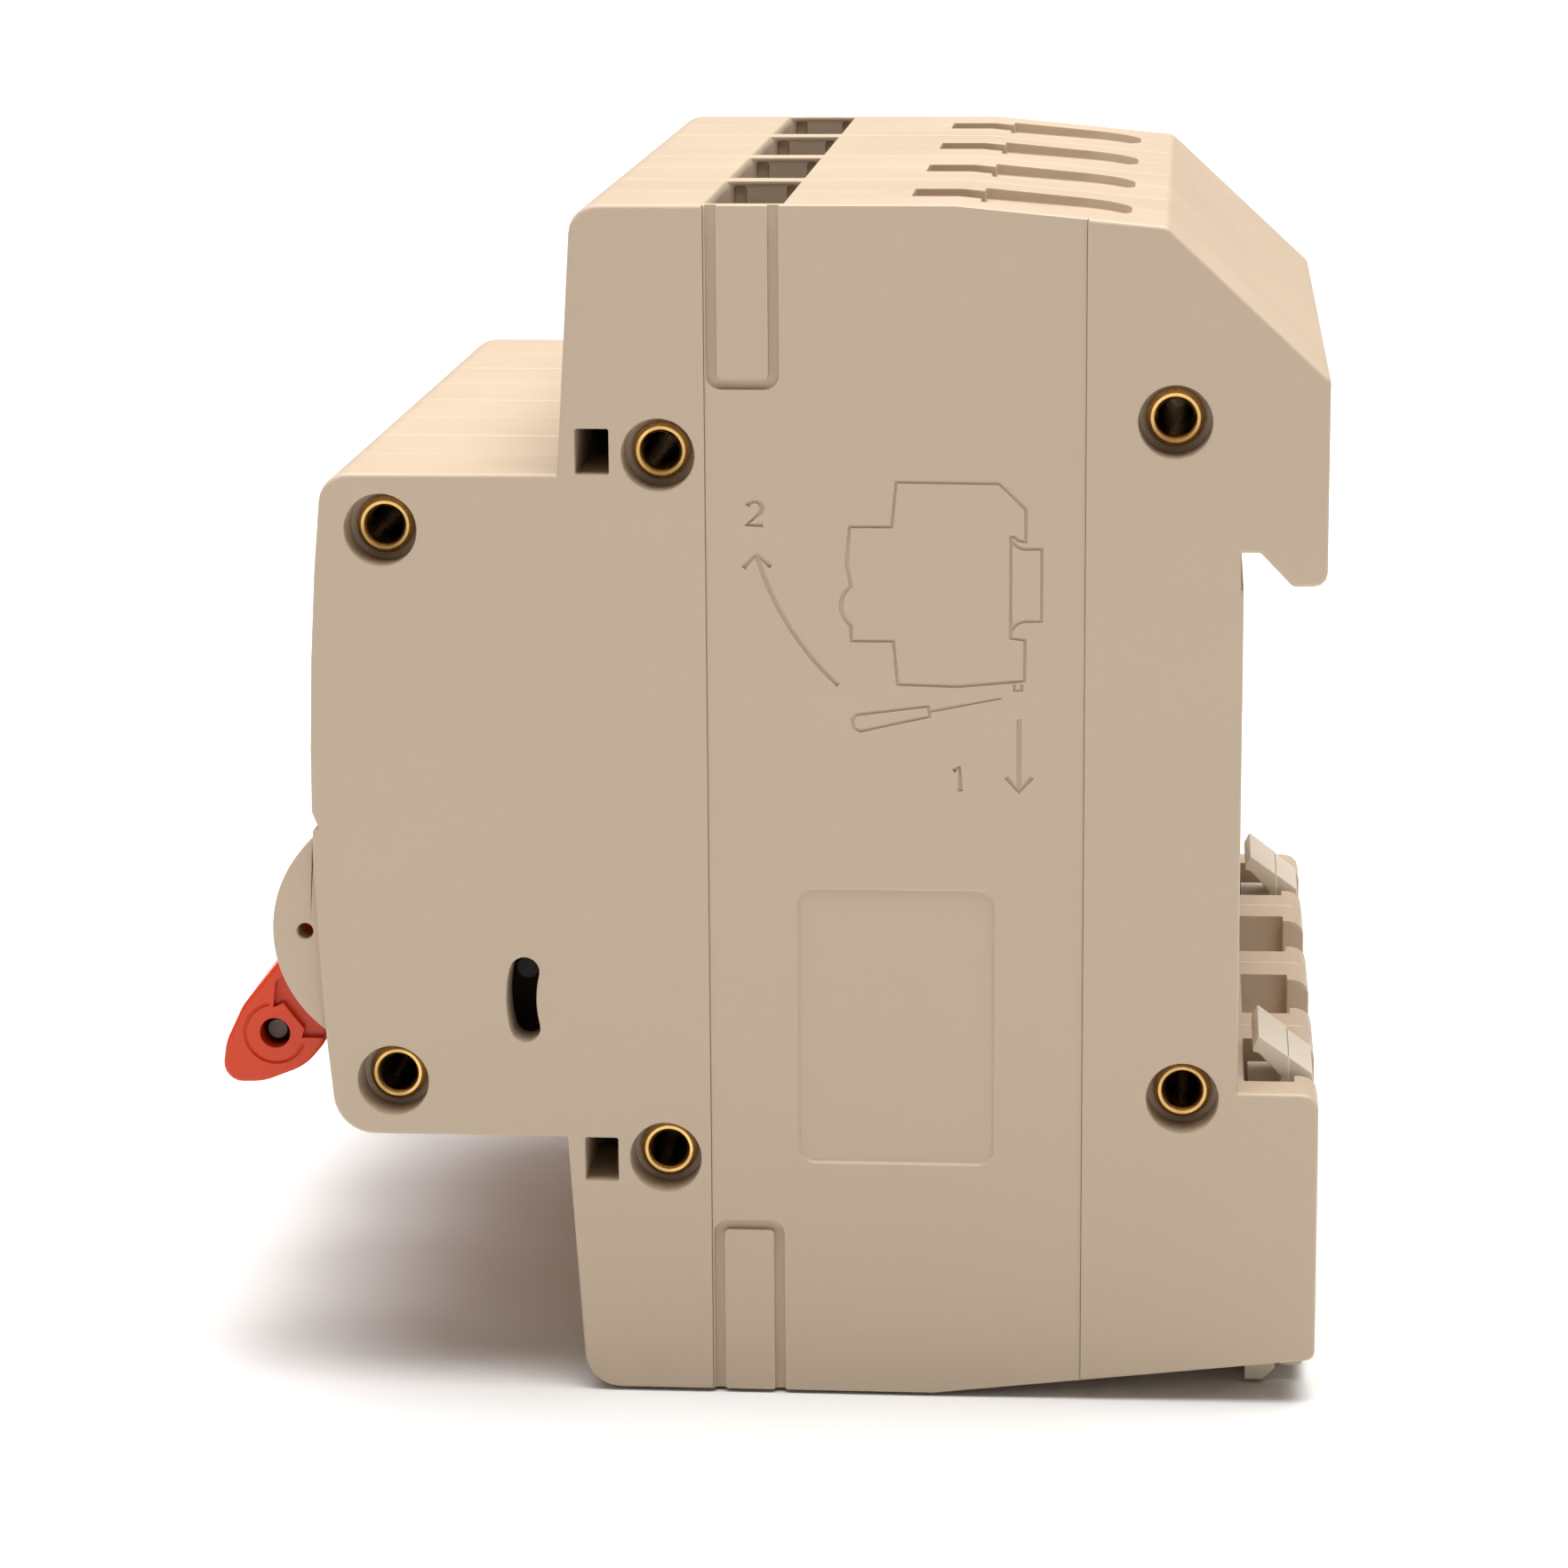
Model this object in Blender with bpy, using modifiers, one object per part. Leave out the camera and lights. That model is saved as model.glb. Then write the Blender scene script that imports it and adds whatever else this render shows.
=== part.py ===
"""Four-pole modular circuit breaker for a 35 mm DIN rail, modelled piece by piece.

Each pole is two moulded half-shells round its terminals and mechanism, six brass tube rivets hold the pack
together, and a rod ties the four toggles.

X runs across the poles and -Y towards the toggles. While the pieces are made, Y = 0 is the plane that seats
on the rail and Z = 0 the middle of the nose. The root empty then stands the breaker on Z = 0, centred in Y.
"""

import math

import bmesh
import bpy
from mathutils import Matrix, Vector

# Pack
POLE_COUNT = 4
POLE_PITCH = 0.0177
POLE_GAP = 0.0002
SEAM_GAP = 0.0001

# Side outline of the case
CASE_HALF_HEIGHT = 0.0401
NOSE_HALF_HEIGHT = 0.0225
NOSE_DEPTH = 0.06164
NOSE_BULGE = 0.0012
SHOULDER_DEPTH = 0.0448
SHOULDER_SLOPE = 0.062
BACK_DEPTH = 0.0054
TOP_SLOPE_START = 0.0188
TOP_SLOPE_END = 0.0052
TOP_SLOPE_DROP = 0.00135
BACK_CHAMFER_HEIGHT = 0.0112
BOTTOM_SLOPE_START = 0.0202
BOTTOM_SLOPE_DROP = 0.0029

# Corner radii of that outline
NOSE_TOP_RADIUS = 0.0021
NOSE_BOTTOM_RADIUS = 0.0028
SHOULDER_TOP_RADIUS = 0.002
SHOULDER_BOTTOM_RADIUS = 0.0025
TOP_SLOPE_RADIUS = 0.0008
BACK_TOP_RADIUS = 0.0005
HOOK_RADIUS = 0.0009
LEDGE_RADIUS = 0.0011
BACK_BOTTOM_RADIUS = 0.0006

# Rail recess
RAIL_HALF_HEIGHT = 0.0175
RAIL_THICKNESS = 0.001
RAIL_TOP_CLEARANCE = 0.0001
RAIL_BOTTOM_CLEARANCE = 0.0012
RAIL_LIP_OVERLAP = 0.0021
RAIL_GRIP_CLEARANCE = 0.00005
SEAT_RELIEF = 0.0002
SEAT_RELIEF_MARGIN = 0.0003

# Walls and clearances
SIDE_WALL = 0.00125
RIM_WALL = 0.0017
CHEEK_WALL = 0.00295
CUT_THROUGH = 0.002
MOVING_CLEARANCE = 0.0003

# Tube rivets: (depth from the rail plane, height)
RIVET_RADIUS = 0.0015
RIVET_BORE_RADIUS = 0.0012
RIVET_HEAD_RADIUS = 0.0019
RIVET_HEAD_THICKNESS = 0.0006
RIVET_HOLE_CLEARANCE = 0.00015
RECESS_RADIUS = 0.0024
RECESS_DEPTH = 0.0028
SHOULDER_RIVET_DEPTH = 0.03816
SHOULDER_RIVET_DROP = 0.0163
NOSE_RIVET_INSET = (0.0051, 0.00375)
UPPER_BACK_RIVET = (-0.00454, 0.02614)
LOWER_BACK_RIVET = (-0.00363, -0.01912)

# Toggles and the rod that ties them. The paddle's corners are (y, z, radius) from the pivot
TOGGLE_PIVOT = (-0.0561, -0.00865)
BOSS_RADIUS = 0.0085
BOSS_INSET = 0.00075
DRUM_RADIUS = 0.0076
PADDLE_CORNERS = [
    (-0.0073, -0.0011, 0.0),
    (-0.0122, -0.0075, 0.003),
    (-0.013, -0.01135, 0.0012),
    (-0.0098, -0.01115, 0.003),
    (-0.0056, -0.0089, 0.0006),
    (-0.0046, -0.0059, 0.0),
]
AXLE_RADIUS = 0.0015
AXLE_LENGTH = 0.0015
TOGGLE_OPENING_HALF_HEIGHT = 0.00922
TIE_BORE = (-0.00902, -0.00778)
TIE_BORE_RADIUS = 0.00105
TIE_ROD_RADIUS = 0.0008
TIE_ROD_INSET = 0.0011
PIN_HOLE_INSET = 0.0063
PIN_HOLE_RADIUS = 0.00055

# Terminals
TERMINAL_DROP = 0.0086
CHAMBER_TOP_WALL = 0.0023
CHAMBER_BOTTOM_DROP = 0.0131
CHAMBER_FRONT_WALL = 0.0017
CHAMBER_REAR = -0.0274
SCREW_RADIUS = 0.002
SCREW_HEAD_RADIUS = 0.0031
SCREW_HEAD_FRONT = -0.0432
SCREW_HEAD_THICKNESS = 0.0022
SCREW_SLOT_WIDTH = 0.0009
SCREW_SLOT_DEPTH = 0.0012
ACCESS_HOLE_RADIUS = 0.0033
CAGE_FRONT = -0.0384
CAGE_LENGTH = 0.0104
CAGE_HALF_HEIGHT = 0.004
CAGE_BAR = 0.0014
CAGE_SIDE = 0.001
CAGE_SIDE_CLEARANCE = 0.0021
BUSBAR_SLOT = (-0.0348, -0.02995)
BUSBAR_END_WALL = 0.001
TONGUE_SLOT = (-0.0219, -0.0171)
TONGUE_SLOT_HALF_WIDTH = 0.0027
GUIDE_GROOVE = (-0.0173, -0.0082)
GUIDE_GROOVE_HALF_WIDTH = 0.00485
GUIDE_GROOVE_DEPTH = 0.0016

# Contacts and mechanism
STRIP_THICKNESS = 0.0012
STRIP_HALF_WIDTH = 0.0036
STRIP_FRONT = -0.0366
STRIP_JOG = 0.0017
STRIP_JOG_HEIGHT = 0.001
PASSAGE_CLEARANCE = 0.0002
MECHANISM_TOP_DROP = 0.0195
MECHANISM_FRONT = -0.0469
MECHANISM_REAR = -0.0332
CONTACT_HEIGHT = 0.0125
CONTACT_HALF_HEIGHT = 0.0015
CONTACT_THICKNESS = 0.001
ARM_PIVOT = (-0.046, -0.004)
ARM_HALF_WIDTH = 0.0016
ARM_THICKNESS = 0.0014
ARM_OPEN_ANGLE = math.radians(10)
HUB_RADIUS = 0.0022
HUB_HOLE_RADIUS = 0.0012
HUB_SHOULDER = 0.0004
POST_RADIUS = 0.0009
TRIP_PIVOT = (-0.03975, -0.013)
TRIP_PIN_DISTANCE = 0.008
TRIP_PIN_RADIUS = 0.00075
TRIP_SLOT_HALF_WIDTH = 0.001
TRIP_SLOT_HALF_ANGLE = math.radians(14)
TRIP_REST_ANGLE = math.radians(12)
TRIP_LEVER_HALF_WIDTH = 0.0012
BIMETAL_THICKNESS = 0.0008
BIMETAL_TOP = -0.006
STRIP_LOWER_TOP = -0.019
RIB = 0.0012
COIL_POCKET = (-0.0138, 0.0055, 0.0215)
COIL_FLANGE_RADIUS = 0.0062
COIL_WINDING_RADIUS = 0.0052
COIL_FLANGE = 0.001
COIL_END_CLEARANCE = 0.0006
CHUTE_POCKET = (-0.0098, -0.0165, 0.0035)
CHUTE_CLEARANCE = 0.0008
CHUTE_PLATES = 8
CHUTE_SPINE = 0.002
VOID_FRONT = -0.0255
UPPER_VOID = (-0.0083, 0.023, 0.033)
LOWER_VOID = (-0.007, -0.035, -0.0225)

# Rail clips and the channel they slide in
CHANNEL_FRONT = 0.0005
CHANNEL_STEP = 0.0038
CHANNEL_HALF_WIDTH = 0.00545
CLIP_CLEARANCE = 0.0003
CLIP_HALF_WIDTH = 0.0047
CLIP_BACK_HALF_WIDTH = 0.00365
CLIP_TIP_HEIGHT = -0.01595
CLIP_TAIL_BOTTOM = -0.04
CLIP_TAIL_TOP = -0.0372
CLIPPED_POLES = (1, 4)

# Offsets that shape a rail clip's hook and tails
CLIP_NOSE = (0.0004, 0.0008, 0.0011, 0.0012)
CLIP_APEX_DROP = 0.0015
CLIP_THROAT = (0.0005, 0.0029)
CLIP_WINDOW = (0.0009, 0.0042)
CLIP_TAIL_STEP = (0.0007, 0.0008, 0.0015)
CLIP_BACK_DROP = 0.0027
CLIP_BACK_FOOT = (0.0006, 0.0007, 0.0014)
CLIP_BACK_OVERLAP = 0.0001

# Details of the outer side faces
KNOCKOUT_OUTER = (-0.03495, -0.0302)
KNOCKOUT_GROOVE = 0.0007
KNOCKOUT_RADIUS = 0.0009
KNOCKOUT_INNER_RADIUS = 0.0003
KNOCKOUT_LENGTH = 0.012
KNOCKOUT_DEPTH = 0.0005
LABEL_FIELD = (-0.02919, -0.01616, -0.02403, -0.00505)
LABEL_DEPTH = 0.0002
WINDOW_CENTRE = (-0.04248, 0.024)
WINDOW_HALF_SIZE = (0.0011, 0.0015)

# Values worked out from those above
HALF_WIDTH = (POLE_PITCH - POLE_GAP) / 2
POCKET_WIDTH = HALF_WIDTH - SIDE_WALL
TOGGLE_SLOT_WIDTH = HALF_WIDTH - CHEEK_WALL
TOGGLE_HALF_WIDTH = TOGGLE_SLOT_WIDTH - MOVING_CLEARANCE
PACK_HALF_WIDTH = POLE_COUNT * POLE_PITCH / 2 - POLE_GAP / 2
TERMINAL_HEIGHT = CASE_HALF_HEIGHT - TERMINAL_DROP
CHAMBER_TOP = CASE_HALF_HEIGHT - CHAMBER_TOP_WALL
CHAMBER_BOTTOM = CASE_HALF_HEIGHT - CHAMBER_BOTTOM_DROP
MECHANISM_TOP = CASE_HALF_HEIGHT - MECHANISM_TOP_DROP
CHAMBER_LEAN = SHOULDER_SLOPE * (CHAMBER_BOTTOM - NOSE_HALF_HEIGHT)
CHAMBER_FRONT = -SHOULDER_DEPTH + CHAMBER_FRONT_WALL + CHAMBER_LEAN
RAIL_TOP = RAIL_HALF_HEIGHT + RAIL_TOP_CLEARANCE
RAIL_BOTTOM = -RAIL_HALF_HEIGHT - RAIL_BOTTOM_CLEARANCE
RAIL_GRIP = RAIL_THICKNESS + RAIL_GRIP_CLEARANCE
LIP_EDGE = RAIL_HALF_HEIGHT - RAIL_LIP_OVERLAP
SEAT_TOP = LIP_EDGE - SEAT_RELIEF_MARGIN
STRIP_BACK = STRIP_FRONT + STRIP_JOG
RIVET_HOLE_RADIUS = RIVET_RADIUS + RIVET_HOLE_CLEARANCE
SHOULDER_RIVET_HEIGHT = CASE_HALF_HEIGHT - SHOULDER_RIVET_DROP
NOSE_RIVET_DEPTH = NOSE_DEPTH - NOSE_RIVET_INSET[0]
NOSE_RIVET_HEIGHT = NOSE_HALF_HEIGHT - NOSE_RIVET_INSET[1]
RIVETS = {
    "upper_shoulder": (-SHOULDER_RIVET_DEPTH, SHOULDER_RIVET_HEIGHT),
    "lower_shoulder": (-SHOULDER_RIVET_DEPTH, -SHOULDER_RIVET_HEIGHT),
    "upper_nose": (-NOSE_RIVET_DEPTH, NOSE_RIVET_HEIGHT),
    "lower_nose": (-NOSE_RIVET_DEPTH, -NOSE_RIVET_HEIGHT),
    "upper_back": UPPER_BACK_RIVET,
    "lower_back": LOWER_BACK_RIVET,
}
COLLECTION_NAME = "four_pole_circuit_breaker"
STAND_OUTLINE = Matrix.Rotation(math.pi / 2, 4, "Z") @ Matrix.Rotation(math.pi / 2, 4, "X")
AXIS_TURNS = {
    "X": Matrix.Rotation(math.pi / 2, 4, "Y"),
    "Y": Matrix.Rotation(math.pi / 2, 4, "X"),
    "Z": Matrix.Identity(4),
}


def clear_scene():
    """Removes every object the scene starts with."""
    for obj in list(bpy.data.objects):
        bpy.data.objects.remove(obj)


def make_collection(name):
    """A new collection under the scene's own."""
    collection = bpy.data.collections.new(name)
    bpy.context.scene.collection.children.link(collection)
    return collection


def make_material(name, colour, roughness, metallic=0.0):
    """A Principled material."""
    material = bpy.data.materials.new(name)
    material.use_nodes = True
    shader = material.node_tree.nodes["Principled BSDF"]
    shader.inputs["Base Color"].default_value = (*colour, 1.0)
    shader.inputs["Roughness"].default_value = roughness
    shader.inputs["Metallic"].default_value = metallic
    return material


def mirrored(points):
    """The points below the middle that match those above it, in reverse, so that an outline can go on."""
    return [(y, -z) for y, z in reversed(points)]


def rounded(corners, steps=2):
    """The outline through corners of (y, z, radius), with an arc at each corner that has a radius."""
    points = []
    for index, (y, z, radius) in enumerate(corners):
        corner = Vector((y, z))
        if radius == 0:
            points.append((y, z))
            continue
        before = (Vector(corners[index - 1][:2]) - corner).normalized()
        after = (Vector(corners[(index + 1) % len(corners)][:2]) - corner).normalized()
        half_angle = before.angle(after) / 2
        centre = corner + (before + after).normalized() * radius / math.sin(half_angle)
        start = corner + before * radius / math.tan(half_angle) - centre
        end = corner + after * radius / math.tan(half_angle) - centre
        first = math.atan2(start.y, start.x)
        turn = (math.atan2(end.y, end.x) - first + math.pi) % (2 * math.pi) - math.pi
        for step in range(steps + 1):
            angle = first + turn * step / steps
            points.append((centre.x + radius * math.cos(angle), centre.y + radius * math.sin(angle)))
    return points


def arc_band(radius, half_width, half_angle, steps=3, end_steps=3):
    """A curved slot round (0, 0), centred on the direction of -Y, with round ends."""
    points = []
    for step in range(steps + 1):
        angle = math.pi - half_angle + 2 * half_angle * step / steps
        points.append(((radius + half_width) * math.cos(angle), (radius + half_width) * math.sin(angle)))
    for step in range(1, end_steps):
        turn = math.pi + half_angle + math.pi * step / end_steps
        middle = math.pi + half_angle
        points.append(
            (
                radius * math.cos(middle) + half_width * math.cos(turn),
                radius * math.sin(middle) + half_width * math.sin(turn),
            )
        )
    for step in range(steps, -1, -1):
        angle = math.pi - half_angle + 2 * half_angle * step / steps
        points.append(((radius - half_width) * math.cos(angle), (radius - half_width) * math.sin(angle)))
    for step in range(1, end_steps):
        turn = -half_angle + math.pi * step / end_steps
        middle = math.pi - half_angle
        points.append(
            (
                radius * math.cos(middle) + half_width * math.cos(turn),
                radius * math.sin(middle) + half_width * math.sin(turn),
            )
        )
    return points


def weld_and_face_out(mesh):
    """Joins points that meet and turns every face outwards."""
    edited = bmesh.new()
    edited.from_mesh(mesh)
    bmesh.ops.remove_doubles(edited, verts=edited.verts, dist=1e-6)
    bmesh.ops.recalc_face_normals(edited, faces=edited.faces)
    edited.to_mesh(mesh)
    edited.free()


def link_object(name, mesh, location=(0.0, 0.0, 0.0)):
    """An object for the mesh, in the scene but in no named collection yet."""
    obj = bpy.data.objects.new(name, mesh)
    obj.location = location
    bpy.context.scene.collection.objects.link(obj)
    return obj


def evaluated_mesh(obj):
    """A new mesh of the object with its modifiers applied."""
    bpy.context.view_layer.update()
    graph = bpy.context.evaluated_depsgraph_get()
    return bpy.data.meshes.new_from_object(obj.evaluated_get(graph))


def plate(name, outline, x_low, x_high, pivot=(0.0, 0.0)):
    """A flat outline in Y and Z with a thickness along X. Its origin lies on the pivot, (y, z)."""
    curve = bpy.data.curves.new(name, "CURVE")
    curve.dimensions = "2D"
    curve.fill_mode = "BOTH"
    curve.extrude = (x_high - x_low) / 2
    spline = curve.splines.new("POLY")
    spline.points.add(len(outline) - 1)
    for point, (y, z) in zip(spline.points, outline):
        point.co = (y - pivot[0], z - pivot[1], 0.0, 1.0)
    spline.use_cyclic_u = True
    guide = link_object(name + "_outline", curve)
    mesh = evaluated_mesh(guide)
    bpy.data.objects.remove(guide)
    mesh.transform(Matrix.Translation(((x_low + x_high) / 2, 0.0, 0.0)) @ STAND_OUTLINE)
    weld_and_face_out(mesh)
    return link_object(name, mesh, (0.0, pivot[0], pivot[1]))


def box(name, x_range, y_range, z_range):
    """A box between three pairs of limits, with its origin at (0, 0, 0)."""
    sizes = [high - low for low, high in (x_range, y_range, z_range)]
    middle = [(low + high) / 2 for low, high in (x_range, y_range, z_range)]
    edited = bmesh.new()
    place = Matrix.Translation(middle) @ Matrix.Diagonal((*sizes, 1.0))
    bmesh.ops.create_cube(edited, size=1.0, matrix=place)
    mesh = bpy.data.meshes.new(name)
    edited.to_mesh(mesh)
    edited.free()
    return link_object(name, mesh)


def rod(name, axis, radius, limits, centre, segments=12):
    """A cylinder along X or Y between two limits. The centre is (y, z) for X, and (x, z) for Y."""
    middle = (limits[0] + limits[1]) / 2
    place = (middle, *centre) if axis == "X" else (centre[0], middle, centre[1])
    edited = bmesh.new()
    bmesh.ops.create_cone(
        edited,
        cap_ends=True,
        segments=segments,
        radius1=radius,
        radius2=radius,
        depth=limits[1] - limits[0],
        matrix=Matrix.Translation(place) @ AXIS_TURNS[axis],
    )
    mesh = bpy.data.meshes.new(name)
    edited.to_mesh(mesh)
    edited.free()
    return link_object(name, mesh)


def turned(name, profile, axis, closed, segments=12):
    """A profile of (radius, height) swept round an axis, running down its outer side."""
    edited = bmesh.new()
    vertices = [edited.verts.new((radius, 0.0, height)) for radius, height in profile]
    ends = vertices[1:] + vertices[:1] if closed else vertices[1:]
    for start, end in zip(vertices, ends):
        edited.edges.new((start, end))
    mesh = bpy.data.meshes.new(name)
    edited.to_mesh(mesh)
    edited.free()
    obj = link_object(name, mesh)
    screw = obj.modifiers.new("Turn", "SCREW")
    screw.steps = segments
    screw.render_steps = segments
    screw.use_merge_vertices = True
    screw.merge_threshold = 0.00001
    obj.data = evaluated_mesh(obj)
    obj.modifiers.clear()
    weld_and_face_out(obj.data)
    obj.data.transform(AXIS_TURNS[axis])
    return obj


def combine(target, operation, pieces):
    """Joins the pieces to the target, or cuts them out of it, one after the other, and removes them."""
    for piece in pieces:
        modifier = target.modifiers.new(piece.name, "BOOLEAN")
        modifier.operation = operation
        modifier.object = piece
    target.data = evaluated_mesh(target)
    target.modifiers.clear()
    for piece in pieces:
        bpy.data.objects.remove(piece)
    return target


def take_mesh(obj):
    """The object's mesh, with the object removed."""
    mesh = obj.data
    bpy.data.objects.remove(obj)
    return mesh


def nose_front(z):
    """Depth of the nose's gently crowned front at a height."""
    return -NOSE_DEPTH + NOSE_BULGE * (z / NOSE_HALF_HEIGHT) ** 2


def shoulder_front(z):
    """Depth of the shoulder faces, which lean back towards the terminals."""
    return -SHOULDER_DEPTH + SHOULDER_SLOPE * (abs(z) - NOSE_HALF_HEIGHT)


def case_outline():
    """The side outline of every half-shell."""
    nose, case = NOSE_HALF_HEIGHT, CASE_HALF_HEIGHT
    return rounded(
        [
            (nose_front(-nose), -nose, NOSE_BOTTOM_RADIUS),
            (nose_front(-nose / 2), -nose / 2, 0.0),
            (nose_front(0.0), 0.0, 0.0),
            (nose_front(nose / 2), nose / 2, 0.0),
            (nose_front(nose), nose, NOSE_TOP_RADIUS),
            (shoulder_front(nose), nose, 0.0),
            (shoulder_front(case), case, SHOULDER_TOP_RADIUS),
            (-TOP_SLOPE_START, case, 0.0),
            (-TOP_SLOPE_END, case - TOP_SLOPE_DROP, TOP_SLOPE_RADIUS),
            (BACK_DEPTH, case - BACK_CHAMFER_HEIGHT, BACK_TOP_RADIUS),
            (BACK_DEPTH, LIP_EDGE, HOOK_RADIUS),
            (RAIL_GRIP + RAIL_LIP_OVERLAP, LIP_EDGE, 0.0),
            (RAIL_GRIP, RAIL_TOP, 0.0),
            (-SEAT_RELIEF, RAIL_TOP, 0.0),
            (-SEAT_RELIEF, SEAT_TOP, 0.0),
            (0.0, SEAT_TOP, 0.0),
            (0.0, RAIL_BOTTOM, 0.0),
            (BACK_DEPTH, RAIL_BOTTOM, LEDGE_RADIUS),
            (BACK_DEPTH, -case + BOTTOM_SLOPE_DROP, BACK_BOTTOM_RADIUS),
            (-BOTTOM_SLOPE_START, -case, 0.0),
            (shoulder_front(case), -case, SHOULDER_BOTTOM_RADIUS),
            (shoulder_front(nose), -nose, 0.0),
        ]
    )


def mechanism_pocket():
    """Outline of the mechanism space, with a passage to the terminal chamber at each end."""
    upper = [
        (MECHANISM_REAR, CHAMBER_BOTTOM),
        (CHAMBER_REAR, CHAMBER_BOTTOM),
        (CHAMBER_REAR, CHAMBER_TOP),
        (CHAMBER_FRONT, CHAMBER_TOP),
        (CHAMBER_FRONT, CHAMBER_BOTTOM),
        (STRIP_BACK - PASSAGE_CLEARANCE, CHAMBER_BOTTOM),
        (STRIP_BACK - PASSAGE_CLEARANCE, MECHANISM_TOP),
        (MECHANISM_FRONT, MECHANISM_TOP),
    ]
    return upper + mirrored(upper)


def nose_pocket():
    """Outline of the space for the toggle, clear of the blocks that carry the nose rivets."""
    inner = -NOSE_DEPTH + RIM_WALL
    block = -NOSE_RIVET_DEPTH + RECESS_RADIUS + SEAM_GAP
    block_top = NOSE_RIVET_HEIGHT - RIVET_HOLE_RADIUS - MOVING_CLEARANCE
    upper = [
        (MECHANISM_FRONT + RIM_WALL, MECHANISM_TOP),
        (block, MECHANISM_TOP),
        (block, block_top),
        (inner, block_top),
    ]
    return upper + mirrored(upper)


def pocket_cutters():
    """Cutters for the spaces inside a pole. They span both halves, each half taking its own side."""
    rear, bottom, top = COIL_POCKET
    inside = MECHANISM_REAR + RIB
    width = (-POCKET_WIDTH, POCKET_WIDTH)
    toggle_width = (-TOGGLE_SLOT_WIDTH, TOGGLE_SLOT_WIDTH)
    pivot_y, pivot_z = TOGGLE_PIVOT
    axle_reach = TOGGLE_HALF_WIDTH + AXLE_LENGTH + MOVING_CLEARANCE
    return [
        plate("cut_mechanism", mechanism_pocket(), *width),
        plate("cut_nose", nose_pocket(), *toggle_width),
        box("cut_coil", width, (inside, rear), (bottom, top)),
        box("cut_chute", width, (inside, CHUTE_POCKET[0]), CHUTE_POCKET[1:]),
        box("cut_upper_void", width, (VOID_FRONT, UPPER_VOID[0]), UPPER_VOID[1:]),
        box("cut_lower_void", width, (VOID_FRONT, LOWER_VOID[0]), LOWER_VOID[1:]),
        box(
            "cut_toggle_opening",
            toggle_width,
            (pivot_y - BOSS_RADIUS - CUT_THROUGH, -NOSE_DEPTH + 2 * RIM_WALL),
            (pivot_z - TOGGLE_OPENING_HALF_HEIGHT, pivot_z + TOGGLE_OPENING_HALF_HEIGHT),
        ),
        rod("cut_axle", "X", AXLE_RADIUS + MOVING_CLEARANCE, (-axle_reach, axle_reach), TOGGLE_PIVOT),
    ]


def terminal_cutters(end):
    """Cutters at the upper (end = 1) or lower (end = -1) terminal, seen from outside the case."""
    face = CASE_HALF_HEIGHT + CUT_THROUGH
    slot_width = HALF_WIDTH - BUSBAR_END_WALL

    def heights(low):
        return sorted((end * low, end * face))

    return [
        box("cut_busbar", (-slot_width, slot_width), BUSBAR_SLOT, heights(CHAMBER_TOP - SEAM_GAP)),
        box(
            "cut_tongue_slot",
            (-TONGUE_SLOT_HALF_WIDTH, TONGUE_SLOT_HALF_WIDTH),
            TONGUE_SLOT,
            heights(CASE_HALF_HEIGHT - 2 * GUIDE_GROOVE_DEPTH),
        ),
        box(
            "cut_guide_groove",
            (-GUIDE_GROOVE_HALF_WIDTH, GUIDE_GROOVE_HALF_WIDTH),
            GUIDE_GROOVE,
            heights(CASE_HALF_HEIGHT - GUIDE_GROOVE_DEPTH),
        ),
        rod(
            "cut_access",
            "Y",
            ACCESS_HOLE_RADIUS,
            (-SHOULDER_DEPTH - CUT_THROUGH, CHAMBER_FRONT + CUT_THROUGH),
            (0.0, end * TERMINAL_HEIGHT),
        ),
    ]


def through_cutters():
    """Cutters that run through the whole pole from side to side."""
    width = (-HALF_WIDTH - CUT_THROUGH, HALF_WIDTH + CUT_THROUGH)
    cutters = [rod("cut_rivet", "X", RIVET_HOLE_RADIUS, width, centre, 10) for centre in RIVETS.values()]
    y, z = WINDOW_CENTRE
    half_depth, half_height = WINDOW_HALF_SIZE
    for side in (-1, 1):
        heights = (side * z - half_height, side * z + half_height)
        cutters.append(box("cut_window", width, (y - half_depth, y + half_depth), heights))
    slot = arc_band(TRIP_PIN_DISTANCE, TRIP_SLOT_HALF_WIDTH, TRIP_SLOT_HALF_ANGLE)
    trip_slot = [(TRIP_PIVOT[0] + y, TRIP_PIVOT[1] + z) for y, z in slot]
    cutters.append(plate("cut_trip_slot", trip_slot, *width))
    return cutters


def channel_cutters():
    """Cutters for the stepped channel that a rail clip slides in."""
    heights = (-CASE_HALF_HEIGHT - CUT_THROUGH, RAIL_BOTTOM + CUT_THROUGH)
    back_width = CLIP_BACK_HALF_WIDTH + CLIP_CLEARANCE
    back_depth = (CHANNEL_FRONT, BACK_DEPTH + CUT_THROUGH)
    wide = (-CHANNEL_HALF_WIDTH, CHANNEL_HALF_WIDTH)
    return [
        box("cut_channel", wide, (CHANNEL_FRONT, CHANNEL_STEP), heights),
        box("cut_channel_back", (-back_width, back_width), back_depth, heights),
    ]


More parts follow.
